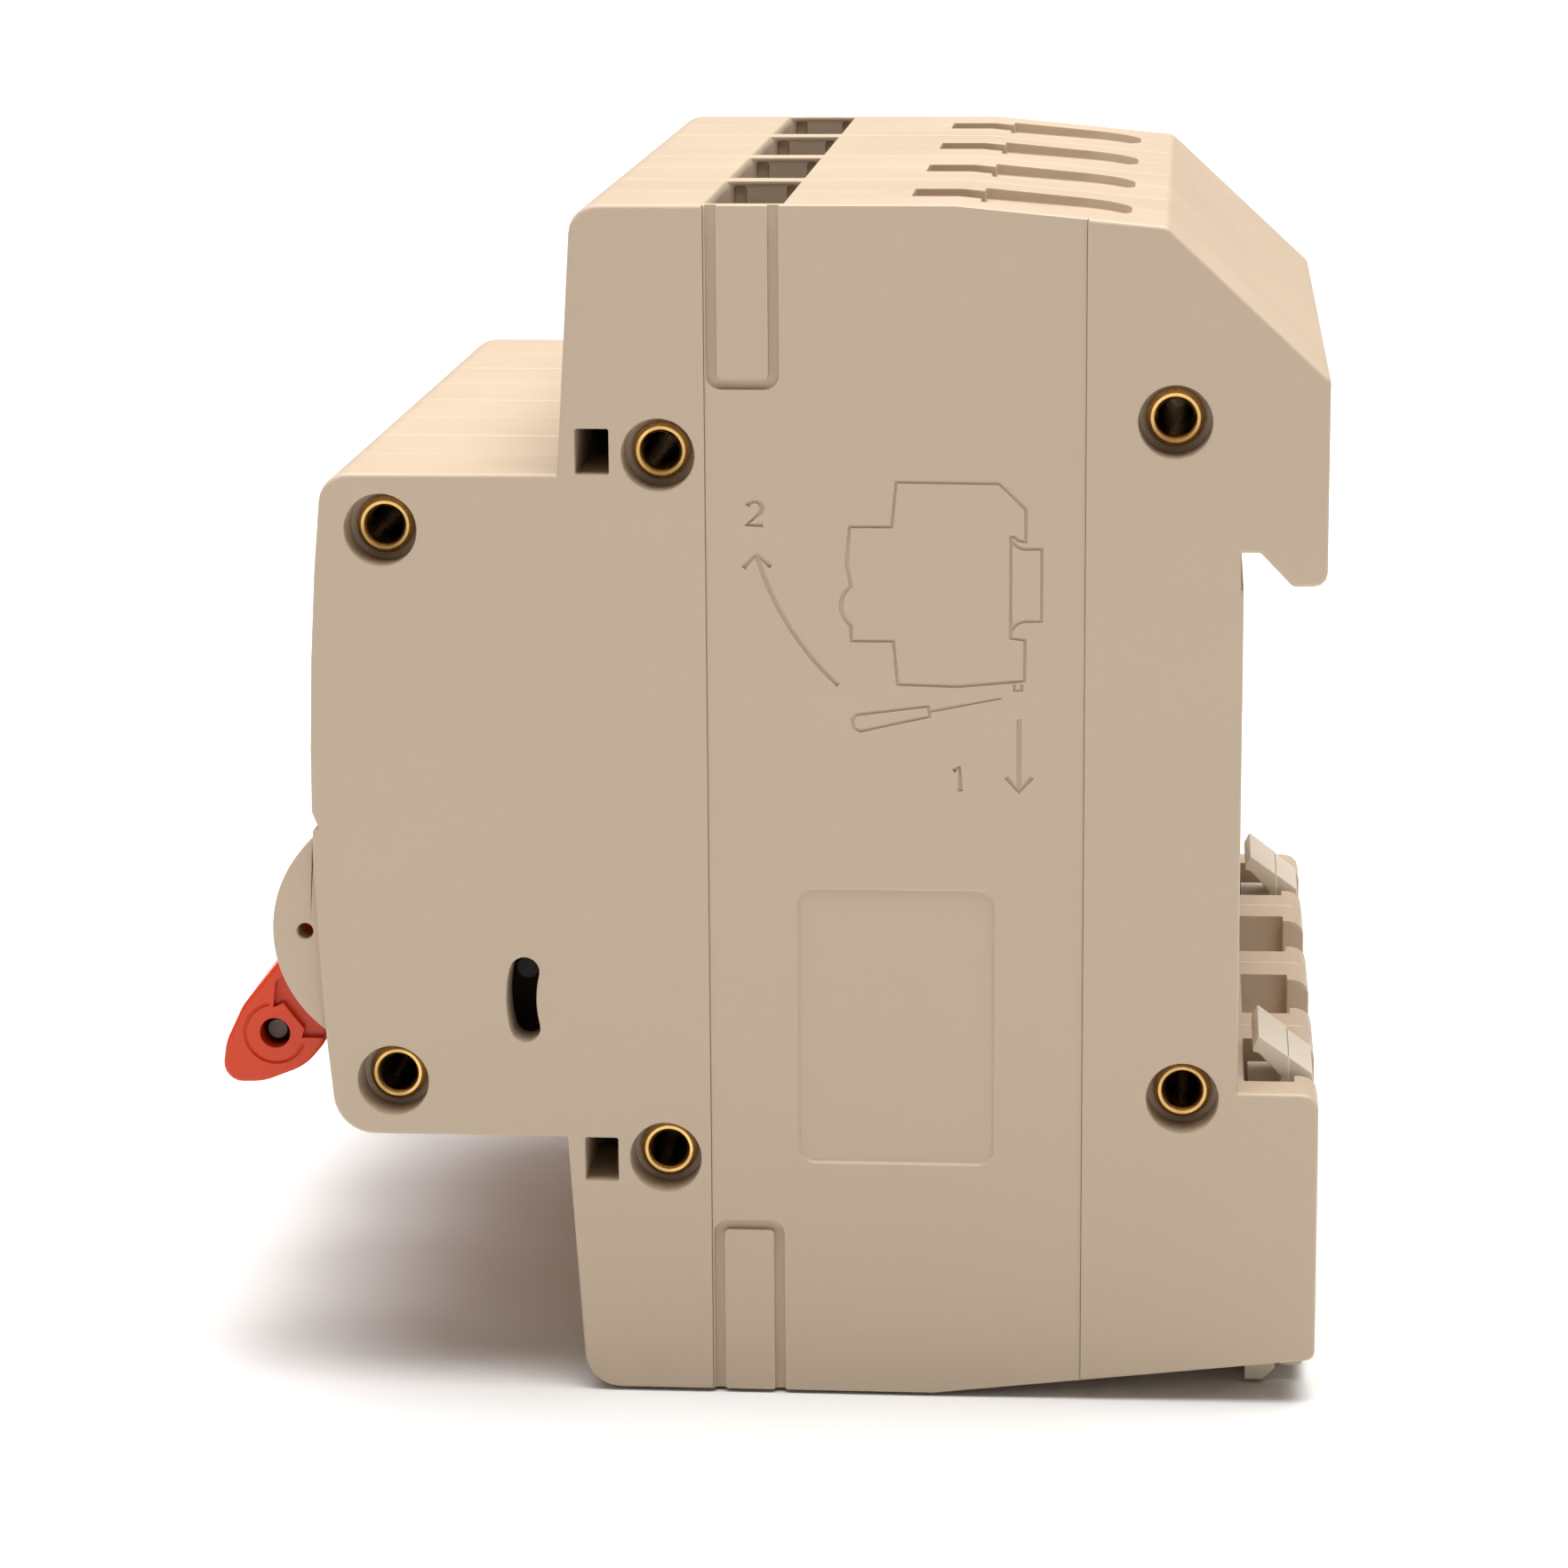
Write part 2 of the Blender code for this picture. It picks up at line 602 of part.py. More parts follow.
def knockout_outline(end):
    """A U-shaped groove, open at the end of the case, round the tab that a busbar needs removed."""
    front, rear = KNOCKOUT_OUTER
    outer, inner = CASE_HALF_HEIGHT - KNOCKOUT_LENGTH, CASE_HALF_HEIGHT - KNOCKOUT_LENGTH + KNOCKOUT_GROOVE
    face = CASE_HALF_HEIGHT + CUT_THROUGH
    return rounded(
        [
            (front, end * face, 0.0),
            (front, end * outer, KNOCKOUT_RADIUS),
            (rear, end * outer, KNOCKOUT_RADIUS),
            (rear, end * face, 0.0),
            (rear - KNOCKOUT_GROOVE, end * face, 0.0),
            (rear - KNOCKOUT_GROOVE, end * inner, KNOCKOUT_INNER_RADIUS),
            (front + KNOCKOUT_GROOVE, end * inner, KNOCKOUT_INNER_RADIUS),
            (front + KNOCKOUT_GROOVE, end * face, 0.0),
        ]
    )


def outer_face_cutters(side):
    """Cutters for the face at the end of the pack: rivet recesses, knock-outs, label field and pin hole."""
    face = side * (HALF_WIDTH + CUT_THROUGH)

    def depth(inset):
        return sorted((side * (HALF_WIDTH - inset), face))

    front, rear, low, high = LABEL_FIELD
    pin_hole = (TOGGLE_PIVOT[0] - PIN_HOLE_INSET, TOGGLE_PIVOT[1])
    recess = depth(RECESS_DEPTH)
    cutters = [rod("cut_recess", "X", RECESS_RADIUS, recess, centre, 14) for centre in RIVETS.values()]
    cutters += [plate("cut_knockout", knockout_outline(end), *depth(KNOCKOUT_DEPTH)) for end in (-1, 1)]
    cutters.append(box("cut_label", depth(LABEL_DEPTH), (front, rear), (low, high)))
    through_cheek = depth(CHEEK_WALL + MOVING_CLEARANCE)
    cutters.append(rod("cut_pin_hole", "X", PIN_HOLE_RADIUS, through_cheek, pin_hole, 8))
    return cutters


def make_shell(side, outermost):
    """One moulded half of a pole, on the +X (side = 1) or -X (side = -1) side of its middle plane."""

    def span(low, high):
        return sorted((side * low, side * high))

    shell = plate("shell", case_outline(), *span(SEAM_GAP / 2, HALF_WIDTH))
    boss = rod("boss", "X", BOSS_RADIUS, span(TOGGLE_SLOT_WIDTH, HALF_WIDTH - BOSS_INSET), TOGGLE_PIVOT, 28)
    combine(shell, "UNION", [boss])
    cutters = pocket_cutters() + through_cutters() + channel_cutters()
    for end in (-1, 1):
        cutters += terminal_cutters(end)
    if outermost:
        cutters += outer_face_cutters(side)
    combine(shell, "DIFFERENCE", cutters)
    reach = span(SEAM_GAP / 2, POCKET_WIDTH + SEAM_GAP)
    posts = [rod("post", "X", POST_RADIUS, reach, place, 8) for place in (ARM_PIVOT, TRIP_PIVOT)]
    return take_mesh(combine(shell, "UNION", posts))


def make_rivet():
    """A brass tube with a rolled head at each end, along X."""
    seat = PACK_HALF_WIDTH - RECESS_DEPTH + SEAM_GAP
    end = seat + RIVET_HEAD_THICKNESS
    profile = [
        (RIVET_BORE_RADIUS, end),
        (RIVET_HEAD_RADIUS, end),
        (RIVET_HEAD_RADIUS, seat),
        (RIVET_RADIUS, seat),
        (RIVET_RADIUS, -seat),
        (RIVET_HEAD_RADIUS, -seat),
        (RIVET_HEAD_RADIUS, -end),
        (RIVET_BORE_RADIUS, -end),
    ]
    return take_mesh(turned("rivet", profile, "X", closed=True, segments=10))


def make_toggle():
    """A toggle in its OFF position, with its origin on the pivot: drum, paddle, axle and tie-rod bore."""
    width = (-TOGGLE_HALF_WIDTH, TOGGLE_HALF_WIDTH)
    paddle = rounded(PADDLE_CORNERS)
    axle = TOGGLE_HALF_WIDTH + AXLE_LENGTH
    centre = (0.0, 0.0)
    toggle = rod("toggle", "X", DRUM_RADIUS, width, centre, 24)
    added = [plate("paddle", paddle, *width), rod("axle", "X", AXLE_RADIUS, (-axle, axle), centre)]
    combine(toggle, "UNION", added)
    through = (-axle - CUT_THROUGH, axle + CUT_THROUGH)
    return take_mesh(combine(toggle, "DIFFERENCE", [rod("bore", "X", TIE_BORE_RADIUS, through, TIE_BORE)]))


def make_trip_bar():
    """The common trip bar, with its origin on the pivot: a pin through all poles, a lever in each pole."""
    reach = PACK_HALF_WIDTH - 2 * SIDE_WALL
    pin = (-TRIP_PIN_DISTANCE * math.cos(TRIP_REST_ANGLE), TRIP_PIN_DISTANCE * math.sin(TRIP_REST_ANGLE))
    bar = rod("trip_bar", "X", TRIP_PIN_RADIUS, (-reach, reach), pin, 12)
    side = Vector((-pin[1], pin[0])).normalized() * TRIP_PIN_RADIUS
    lever = [
        (side.x, side.y),
        (pin[0] + side.x, pin[1] + side.y),
        (pin[0] - side.x, pin[1] - side.y),
        (-side.x, -side.y),
    ]
    joined, holes = [], []
    for pole in range(1, POLE_COUNT + 1):
        middle = pole_middle(pole)
        width = (middle - TRIP_LEVER_HALF_WIDTH, middle + TRIP_LEVER_HALF_WIDTH)
        joined.append(plate("lever", lever, *width))
        hub_width = (width[0] - HUB_SHOULDER, width[1] + HUB_SHOULDER)
        joined.append(rod("hub", "X", HUB_RADIUS, hub_width, (0.0, 0.0), 10))
        wider = (width[0] - CUT_THROUGH, width[1] + CUT_THROUGH)
        holes.append(rod("hub_hole", "X", HUB_HOLE_RADIUS, wider, (0.0, 0.0), 8))
    combine(bar, "UNION", joined)
    return take_mesh(combine(bar, "DIFFERENCE", holes))


def make_contact_arm():
    """The moving contact in its open position, with its origin on the pivot."""
    pad_rear = STRIP_BACK - CONTACT_THICKNESS - MOVING_CLEARANCE - ARM_PIVOT[0]
    bar_rear = pad_rear - CONTACT_THICKNESS
    bar_front = bar_rear - ARM_THICKNESS
    low = CONTACT_HEIGHT - CONTACT_HALF_HEIGHT - ARM_PIVOT[1]
    high = CONTACT_HEIGHT + CONTACT_HALF_HEIGHT - ARM_PIVOT[1]
    bend = low - 2 * CONTACT_HALF_HEIGHT + ARM_THICKNESS / 2
    outline = [
        (-POST_RADIUS, POST_RADIUS),
        (bar_front, bend),
        (bar_front, high + CONTACT_THICKNESS),
        (bar_rear, high + CONTACT_THICKNESS),
        (bar_rear, high),
        (pad_rear, high),
        (pad_rear, low),
        (bar_rear, low),
        (bar_rear, bend - ARM_THICKNESS / 2),
        (POST_RADIUS, -POST_RADIUS),
    ]
    width = (-ARM_HALF_WIDTH, ARM_HALF_WIDTH)
    arm = plate("contact_arm", outline, *width)
    hub_width = (-ARM_HALF_WIDTH - HUB_SHOULDER, ARM_HALF_WIDTH + HUB_SHOULDER)
    combine(arm, "UNION", [rod("hub", "X", HUB_RADIUS, hub_width, (0.0, 0.0), 10)])
    through = (-ARM_HALF_WIDTH - CUT_THROUGH, ARM_HALF_WIDTH + CUT_THROUGH)
    combine(arm, "DIFFERENCE", [rod("hub_hole", "X", HUB_HOLE_RADIUS, through, (0.0, 0.0), 8)])
    arm.data.transform(Matrix.Rotation(ARM_OPEN_ANGLE, 4, "X"))
    return take_mesh(arm)


def strip_end(end):
    """The terminal end of a contact strip, from its tip in the cage to its jog, front edge first."""
    tip = CHAMBER_TOP - RIB
    jog = CHAMBER_BOTTOM + MOVING_CLEARANCE
    front = [(STRIP_BACK, jog), (STRIP_FRONT, jog + STRIP_JOG_HEIGHT), (STRIP_FRONT, tip)]
    rear = [(y + STRIP_THICKNESS, z) for y, z in reversed(front)]
    rear[1:] = [(y, z + MOVING_CLEARANCE) for y, z in rear[1:]]
    return [(y, end * z) for y, z in front + rear]


def make_fixed_contact():
    """The line strip, from the upper cage down to the fixed contact."""
    low, high = CONTACT_HEIGHT - CONTACT_HALF_HEIGHT, CONTACT_HEIGHT + CONTACT_HALF_HEIGHT
    foot = [
        (STRIP_BACK + STRIP_THICKNESS, low - CONTACT_THICKNESS),
        (STRIP_BACK, low - CONTACT_THICKNESS),
        (STRIP_BACK, low),
        (STRIP_BACK - CONTACT_THICKNESS, low),
        (STRIP_BACK - CONTACT_THICKNESS, high),
        (STRIP_BACK, high),
    ]
    return take_mesh(plate("fixed_contact", strip_end(1) + foot, -STRIP_HALF_WIDTH, STRIP_HALF_WIDTH))


def make_bimetal_strip():
    """The load strip, from the lower cage up to the thin bimetal that it carries."""
    foot = [
        (STRIP_BACK + STRIP_THICKNESS, STRIP_LOWER_TOP),
        (STRIP_BACK + BIMETAL_THICKNESS, STRIP_LOWER_TOP),
        (STRIP_BACK + BIMETAL_THICKNESS, BIMETAL_TOP),
        (STRIP_BACK, BIMETAL_TOP),
    ]
    return take_mesh(plate("bimetal_strip", strip_end(-1) + foot, -STRIP_HALF_WIDTH, STRIP_HALF_WIDTH))


def make_cage():
    """A terminal cage: a ring open upwards, with the screw's hole in its front bar."""
    half = POCKET_WIDTH - CAGE_SIDE_CLEARANCE
    rear = CAGE_FRONT + CAGE_LENGTH
    height = (-CAGE_HALF_HEIGHT, CAGE_HALF_HEIGHT)
    taller = (-CAGE_HALF_HEIGHT - CUT_THROUGH, CAGE_HALF_HEIGHT + CUT_THROUGH)
    cage = box("cage", (-half, half), (CAGE_FRONT, rear), height)
    bar = (CAGE_FRONT + CAGE_BAR, rear - CAGE_BAR)
    inside = box("inside", (CAGE_SIDE - half, half - CAGE_SIDE), bar, taller)
    through_bar = (CAGE_FRONT - CAGE_BAR, CAGE_FRONT + 2 * CAGE_BAR)
    hole = rod("hole", "Y", SCREW_RADIUS + MOVING_CLEARANCE, through_bar, (0.0, 0.0))
    return take_mesh(combine(cage, "DIFFERENCE", [inside, hole]))


def make_screw():
    """A slotted terminal screw along Y, with its origin on its axis at the middle of the case."""
    head_rear = SCREW_HEAD_FRONT + SCREW_HEAD_THICKNESS
    tip = STRIP_FRONT - MOVING_CLEARANCE
    profile = [
        (0.0, -SCREW_HEAD_FRONT),
        (SCREW_HEAD_RADIUS, -SCREW_HEAD_FRONT),
        (SCREW_HEAD_RADIUS, -head_rear),
        (SCREW_RADIUS, -head_rear),
        (SCREW_RADIUS, -tip),
        (0.0, -tip),
    ]
    screw = turned("screw", profile, "Y", closed=False)
    half = SCREW_SLOT_WIDTH / 2
    reach = SCREW_HEAD_RADIUS + CUT_THROUGH
    slot = box(
        "slot",
        (-reach, reach),
        (SCREW_HEAD_FRONT - CUT_THROUGH, SCREW_HEAD_FRONT + SCREW_SLOT_DEPTH),
        (-half, half),
    )
    return take_mesh(combine(screw, "DIFFERENCE", [slot]))


def make_coil():
    """The magnetic trip coil on its bobbin, along Y."""
    front = MECHANISM_REAR + RIB + COIL_END_CLEARANCE
    rear = COIL_POCKET[0] - COIL_END_CLEARANCE
    profile = [
        (0.0, -front),
        (COIL_FLANGE_RADIUS, -front),
        (COIL_FLANGE_RADIUS, -front - COIL_FLANGE),
        (COIL_WINDING_RADIUS, -front - COIL_FLANGE),
        (COIL_WINDING_RADIUS, -rear + COIL_FLANGE),
        (COIL_FLANGE_RADIUS, -rear + COIL_FLANGE),
        (COIL_FLANGE_RADIUS, -rear),
        (0.0, -rear),
    ]
    return take_mesh(turned("coil", profile, "Y", closed=False, segments=14))


def make_arc_chute():
    """The arc chute: a stack of splitter plates on a rear spine."""
    front = MECHANISM_REAR + RIB + CHUTE_CLEARANCE
    rear = CHUTE_POCKET[0] - CHUTE_CLEARANCE
    bottom = CHUTE_POCKET[1] + CHUTE_CLEARANCE
    pitch = (CHUTE_POCKET[2] - CHUTE_CLEARANCE - bottom) / (2 * CHUTE_PLATES - 1)
    spine = rear - CHUTE_SPINE
    outline = []
    for plate_number in range(CHUTE_PLATES):
        low = bottom + 2 * plate_number * pitch
        outline += [(spine, low), (front, low), (front, low + pitch), (spine, low + pitch)]
    outline[0] = (rear, bottom)
    outline.insert(1, (front, bottom))
    outline.pop(2)
    outline[-1] = (rear, bottom + (2 * CHUTE_PLATES - 1) * pitch)
    half = POCKET_WIDTH - CHUTE_CLEARANCE
    return take_mesh(plate("arc_chute", outline, -half, half))


def make_rail_clip():
    """A rail clip: a hooked slider with a wide front, a narrower back and a stepped tail."""
    step = CHANNEL_STEP - CLIP_CLEARANCE
    back = BACK_DEPTH - CLIP_CLEARANCE
    face = CHANNEL_FRONT + CLIP_CLEARANCE
    tip, tail = CLIP_TIP_HEIGHT, CLIP_TAIL_BOTTOM
    nose_depth, nose_top, nose_bottom, nose_rear = CLIP_NOSE
    tail_depth, tail_height, tail_taper = CLIP_TAIL_STEP
    foot_depth, foot_low, foot_high = CLIP_BACK_FOOT
    front_outline = [
        (RAIL_GRIP, tip - nose_top),
        (RAIL_GRIP + nose_depth, tip),
        (step, tip - CLIP_APEX_DROP),
        (step, CLIP_TAIL_TOP),
        (step - tail_depth, CLIP_TAIL_TOP),
        (step - tail_depth, tail + tail_height),
        (step - tail_taper, tail),
        (face, tail),
        (face, tip - CLIP_WINDOW[1]),
        (step - CLIP_WINDOW[0], tip - CLIP_WINDOW[1]),
        (step - CLIP_THROAT[0], tip - CLIP_THROAT[1]),
        (RAIL_GRIP + nose_depth, tip - nose_rear),
        (RAIL_GRIP, tip - nose_bottom),
    ]
    back_outline = [
        (step - CLIP_BACK_OVERLAP, tip - CLIP_APEX_DROP),
        (back, tip - CLIP_BACK_DROP),
        (back, tail + foot_high),
        (back - foot_depth, tail + foot_low),
        (step - CLIP_BACK_OVERLAP, tail + foot_low),
    ]
    clip = plate("clip", front_outline, -CLIP_HALF_WIDTH, CLIP_HALF_WIDTH)
    back_plate = plate("clip_back", back_outline, -CLIP_BACK_HALF_WIDTH, CLIP_BACK_HALF_WIDTH)
    return take_mesh(combine(clip, "UNION", [back_plate]))


def pole_middle(pole):
    """X of a pole's middle plane; pole 1 lies furthest towards -X."""
    return (pole - (POLE_COUNT + 1) / 2) * POLE_PITCH


def make_root(toggle):
    """The empty that stands the breaker on Z = 0 with its depth centred on Y = 0."""
    root = bpy.data.objects.new("breaker_root", None)
    paddle_front = TOGGLE_PIVOT[0] + min(vertex.co.y for vertex in toggle.vertices)
    root.location = (0.0, -(BACK_DEPTH + paddle_front) / 2, CASE_HALF_HEIGHT)
    return root


def place(name, mesh, material, collection, root, location=(0.0, 0.0, 0.0), smooth=False):
    """Adds a finished piece to the breaker."""
    obj = bpy.data.objects.new(name, mesh)
    obj.location = location
    obj.parent = root
    if not mesh.materials:
        mesh.materials.append(material)
    if smooth:
        mesh.shade_smooth()
        mesh.set_sharp_from_angle(angle=math.radians(35))
    collection.objects.link(obj)
    return obj


def build():
    """Makes every mesh once and places its copies."""
    clear_scene()
    collection = make_collection(COLLECTION_NAME)
    case_plastic = make_material("case_plastic", (0.62, 0.53, 0.42), 0.45)
    toggle_plastic = make_material("toggle_plastic", (0.72, 0.11, 0.03), 0.3)
    clip_plastic = make_material("clip_plastic", (0.72, 0.64, 0.54), 0.45)
    trip_plastic = make_material("trip_plastic", (0.05, 0.05, 0.05), 0.5)
    brass = make_material("rivet_brass", (0.55, 0.33, 0.1), 0.3, 1.0)
    rod_steel = make_material("tie_rod_steel", (0.5, 0.5, 0.5), 0.3, 1.0)
    zinc_steel = make_material("zinc_plated_steel", (0.6, 0.61, 0.62), 0.35, 1.0)
    cage_steel = make_material("cage_steel", (0.45, 0.45, 0.43), 0.4, 1.0)
    copper = make_material("strip_copper", (0.72, 0.36, 0.2), 0.35, 1.0)
    arm_copper = make_material("arm_copper", (0.66, 0.33, 0.2), 0.4, 1.0)
    bimetal = make_material("bimetal", (0.5, 0.42, 0.36), 0.4, 1.0)
    winding = make_material("coil_winding", (0.45, 0.16, 0.06), 0.4)
    chute_steel = make_material("chute_steel", (0.35, 0.34, 0.33), 0.5, 1.0)

    toggle = make_toggle()
    root = make_root(toggle)
    collection.objects.link(root)
    shells = {(side, outer): make_shell(side, outer) for side in (-1, 1) for outer in (False, True)}
    cage, screw, fixed, strip = make_cage(), make_screw(), make_fixed_contact(), make_bimetal_strip()
    arm, coil, chute = make_contact_arm(), make_coil(), make_arc_chute()
    clip, rivet = make_rail_clip(), make_rivet()
    coil_height = (COIL_POCKET[1] + COIL_POCKET[2]) / 2

    for pole in range(1, POLE_COUNT + 1):
        x = pole_middle(pole)
        name = f"pole_{pole}_"
        for side, word, end_pole in ((-1, "left", 1), (1, "right", POLE_COUNT)):
            shell = shells[side, pole == end_pole]
            place(f"{name}{word}_shell", shell, case_plastic, collection, root, (x, 0, 0))
        place(f"{name}toggle", toggle, toggle_plastic, collection, root, (x, *TOGGLE_PIVOT), smooth=True)
        place(f"{name}fixed_contact", fixed, copper, collection, root, (x, 0, 0))
        place(f"{name}bimetal_strip", strip, bimetal, collection, root, (x, 0, 0))
        place(f"{name}contact_arm", arm, arm_copper, collection, root, (x, *ARM_PIVOT))
        place(f"{name}trip_coil", coil, winding, collection, root, (x, 0, coil_height), smooth=True)
        place(f"{name}arc_chute", chute, chute_steel, collection, root, (x, 0, 0))
        for end, word in ((1, "line"), (-1, "load")):
            height = end * TERMINAL_HEIGHT
            place(f"{name}{word}_cage", cage, cage_steel, collection, root, (x, 0, height))
            place(f"{name}{word}_screw", screw, zinc_steel, collection, root, (x, 0, height), smooth=True)
        if pole in CLIPPED_POLES:
            place(f"{name}rail_clip", clip, clip_plastic, collection, root, (x, 0, 0))
    for name, (y, z) in RIVETS.items():
        place(f"rivet_{name}", rivet, brass, collection, root, (0, y, z), smooth=True)
    place("trip_bar", make_trip_bar(), trip_plastic, collection, root, (0, *TRIP_PIVOT))
    reach = pole_middle(POLE_COUNT) + TOGGLE_HALF_WIDTH - TIE_ROD_INSET
    tie_rod = rod("tie", "X", TIE_ROD_RADIUS, (-reach, reach), TIE_BORE, 12)
    place("tie_rod", take_mesh(tie_rod), rod_steel, collection, root, (0, *TOGGLE_PIVOT), smooth=True)


build()
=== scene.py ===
"""Looks of a four-pole circuit breaker for a DIN rail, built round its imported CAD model.

Lengths here are millimetres. Pieces are shaped with Y = 0 on the plane that seats on the rail and Z = 0 at
the middle of the nose, and stand() then puts them in the frame of the CAD model.
"""

import math

import bmesh
import bpy
from mathutils import Matrix, Vector


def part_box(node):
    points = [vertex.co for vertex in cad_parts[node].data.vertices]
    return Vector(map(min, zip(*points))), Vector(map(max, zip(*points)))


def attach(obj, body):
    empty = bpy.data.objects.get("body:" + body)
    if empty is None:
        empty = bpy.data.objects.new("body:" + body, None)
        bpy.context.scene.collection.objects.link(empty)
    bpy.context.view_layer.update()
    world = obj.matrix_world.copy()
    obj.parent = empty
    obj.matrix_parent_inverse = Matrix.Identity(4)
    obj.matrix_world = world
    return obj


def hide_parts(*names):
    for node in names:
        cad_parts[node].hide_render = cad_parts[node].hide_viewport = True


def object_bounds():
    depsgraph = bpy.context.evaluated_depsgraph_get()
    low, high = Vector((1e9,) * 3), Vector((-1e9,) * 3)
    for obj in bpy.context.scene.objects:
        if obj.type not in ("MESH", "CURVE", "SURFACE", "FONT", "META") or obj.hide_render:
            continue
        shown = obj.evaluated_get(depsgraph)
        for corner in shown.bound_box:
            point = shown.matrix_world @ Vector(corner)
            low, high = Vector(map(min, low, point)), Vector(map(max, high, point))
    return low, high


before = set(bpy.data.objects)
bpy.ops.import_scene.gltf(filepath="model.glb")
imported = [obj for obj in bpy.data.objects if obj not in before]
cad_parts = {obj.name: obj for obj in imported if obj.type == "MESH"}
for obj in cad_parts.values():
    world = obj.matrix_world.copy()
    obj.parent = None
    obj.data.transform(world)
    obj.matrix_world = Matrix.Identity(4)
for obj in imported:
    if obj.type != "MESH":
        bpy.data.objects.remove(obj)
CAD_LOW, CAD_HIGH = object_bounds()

MM = 0.001

# Case
CASE_HALF = (CAD_HIGH.z - CAD_LOW.z) / 2 / MM
CASE_BACK = 5.4
HALF_POLE = 8.75
INNER_HALF_POLE = 8.845  # between poles, where it closes the gap down to a seam
SEAM = 0.05
NOSE_HALF = 22.5
NOSE_FRONT = -61.64
NOSE_CROWN = 1.2
SHOULDER_FRONT = -44.8
SHOULDER_LEAN = 0.062
EDGE_ROUNDING = 0.13
SEAM_RIM = 0.14
FACE_RIM = 0.32
PANEL_STEP = 0.1
SIDE_WALL = 1.25
POCKET = HALF_POLE - SIDE_WALL
TOGGLE_SLOT = 5.8

# Rail recess
RAIL_TOP = 17.6
RAIL_BOTTOM = -18.7
HOOK_TIP = 15.4
SEAT_TOP = 15.1
SEAT_RELIEF = 0.2

# Details of the side faces and end faces
PANEL = (-35.11, -10.26)
PANEL_LINE_SHIFT = 0.013
PANEL_LINE_RADIUS = 0.07
LABEL_Y = (-29.19, -16.16)
LABEL_Z = (-24.03, -5.05)
LABEL_SPREAD = 1.0
LABEL_TAPER = 0.14
WINDOW_HEIGHT = 24.0
WINDOW_HALF = 1.5
PIN_HOLE_OFFSET = 6.3
BEYOND = 2.0  # how far a cutter reaches past the case

# Toggle
PIVOT = (-56.1, -8.65)
BOSS_RADIUS = 8.5
BOSS_FACE = HALF_POLE - 0.75
DRUM_RADIUS = 7.6
TOGGLE_HALF = 5.5
TIE_BORE = (-9.02, -7.78)
TIE_BORE_RADIUS = 1.05
AXLE_RADIUS = 1.5

# Rivets: middle and recess
RIVETS = {
    "rivet_upper_shoulder": (-38.16, 23.8),
    "rivet_lower_shoulder": (-38.16, -23.8),
    "rivet_upper_nose": (-56.54, 18.75),
    "rivet_lower_nose": (-56.54, -18.75),
    "rivet_upper_back": (-4.54, 26.14),
    "rivet_lower_back": (-3.63, -19.12),
}
RECESS_RADIUS = 2.4
RECESS_DEPTH = 2.8
RIVET_BORE = 1.2
RIVET_HEAD = 1.88

# Terminals
TERMINAL_HEIGHT = CASE_HALF - 8.6
CHAMBER_TOP = CASE_HALF - 2.3
CHAMBER_BOTTOM = CASE_HALF - 13.1
CHAMBER_REAR = -27.4
CHAMBER_FRONT = SHOULDER_FRONT + 1.7 + SHOULDER_LEAN * (CHAMBER_BOTTOM - NOSE_HALF)
MECHANISM_TOP = CASE_HALF - 19.5
SCREW_HEAD_FRONT = -43.2
SCREW_HEAD_RADIUS = 3.1
SCREW_RADIUS = 2.0
SCREW_TIP = -36.9

# Pictogram on the outer right face
DRAWING_SCALE = 0.168
DRAWING_ORIGIN = (-15.13, 15.4)
GROOVE_RADIUS = 0.17

RAIL_PLANE_Y = CAD_HIGH.y / MM - CASE_BACK


def stand(mesh, x=0.0, y=0.0, z=0.0):
    """Moves a mesh from its own millimetres into the CAD model's frame, in metres."""
    mesh.transform(Matrix.Translation((x, y + RAIL_PLANE_Y, z + CASE_HALF)))
    mesh.transform(Matrix.Scale(MM, 4))
    return mesh


def pole_middle(pole):
    """X of a pole's middle plane, from the CAD model."""
    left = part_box(f"pole_{pole}_left_shell")[0].x
    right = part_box(f"pole_{pole}_right_shell")[1].x
    return (left + right) / 2 / MM


# ---------------------------------------------------------------- mesh helpers


def link(name, mesh):
    obj = bpy.data.objects.new(name, mesh)
    bpy.context.scene.collection.objects.link(obj)
    return obj


def mesh_object(name, fill):
    """An object whose mesh fill(bm) draws, with its faces turned outwards."""
    bm = bmesh.new()
    fill(bm)
    bmesh.ops.recalc_face_normals(bm, faces=bm.faces)
    mesh = bpy.data.meshes.new(name)
    bm.to_mesh(mesh)
    bm.free()
    return link(name, mesh)


def skin(bm, rings, capped=True, closed=False):
    """Joins rings of points with quads, and caps the ends."""
    rows = [[bm.verts.new(p) for p in ring] for ring in rings]
    pairs = list(zip(rows, rows[1:] + rows[:1])) if closed else list(zip(rows, rows[1:]))
    for low, high in pairs:
        for i in range(len(low)):
            j = (i + 1) % len(low)
            bm.faces.new((low[i], low[j], high[j], high[i]))
    if capped and not closed:
        bm.faces.new(rows[0])
        bm.faces.new(rows[-1])


def loft(name, low, x_low, high, x_high):
    """A solid between an outline in Y and Z at x_low and another at x_high."""
    rings = [[(x, y, z) for y, z in outline] for x, outline in ((x_low, low), (x_high, high))]
    return mesh_object(name, lambda bm: skin(bm, rings))


def prism(name, outline, x_low, x_high):
    return loft(name, outline, x_low, outline, x_high)


def inset(outline, distance):
    """The outline, which runs clockwise in Y and Z, moved inwards."""
    points = [Vector(p) for p in outline]
    moved = []
    for index, point in enumerate(points):
        before = (point - points[index - 1]).normalized()
        after = (points[(index + 1) % len(points)] - point).normalized()
        first, second = Vector((before.y, -before.x)), Vector((after.y, -after.x))
        moved.append(tuple(point + (first + second) * distance / (1 + first.dot(second))))
    return moved


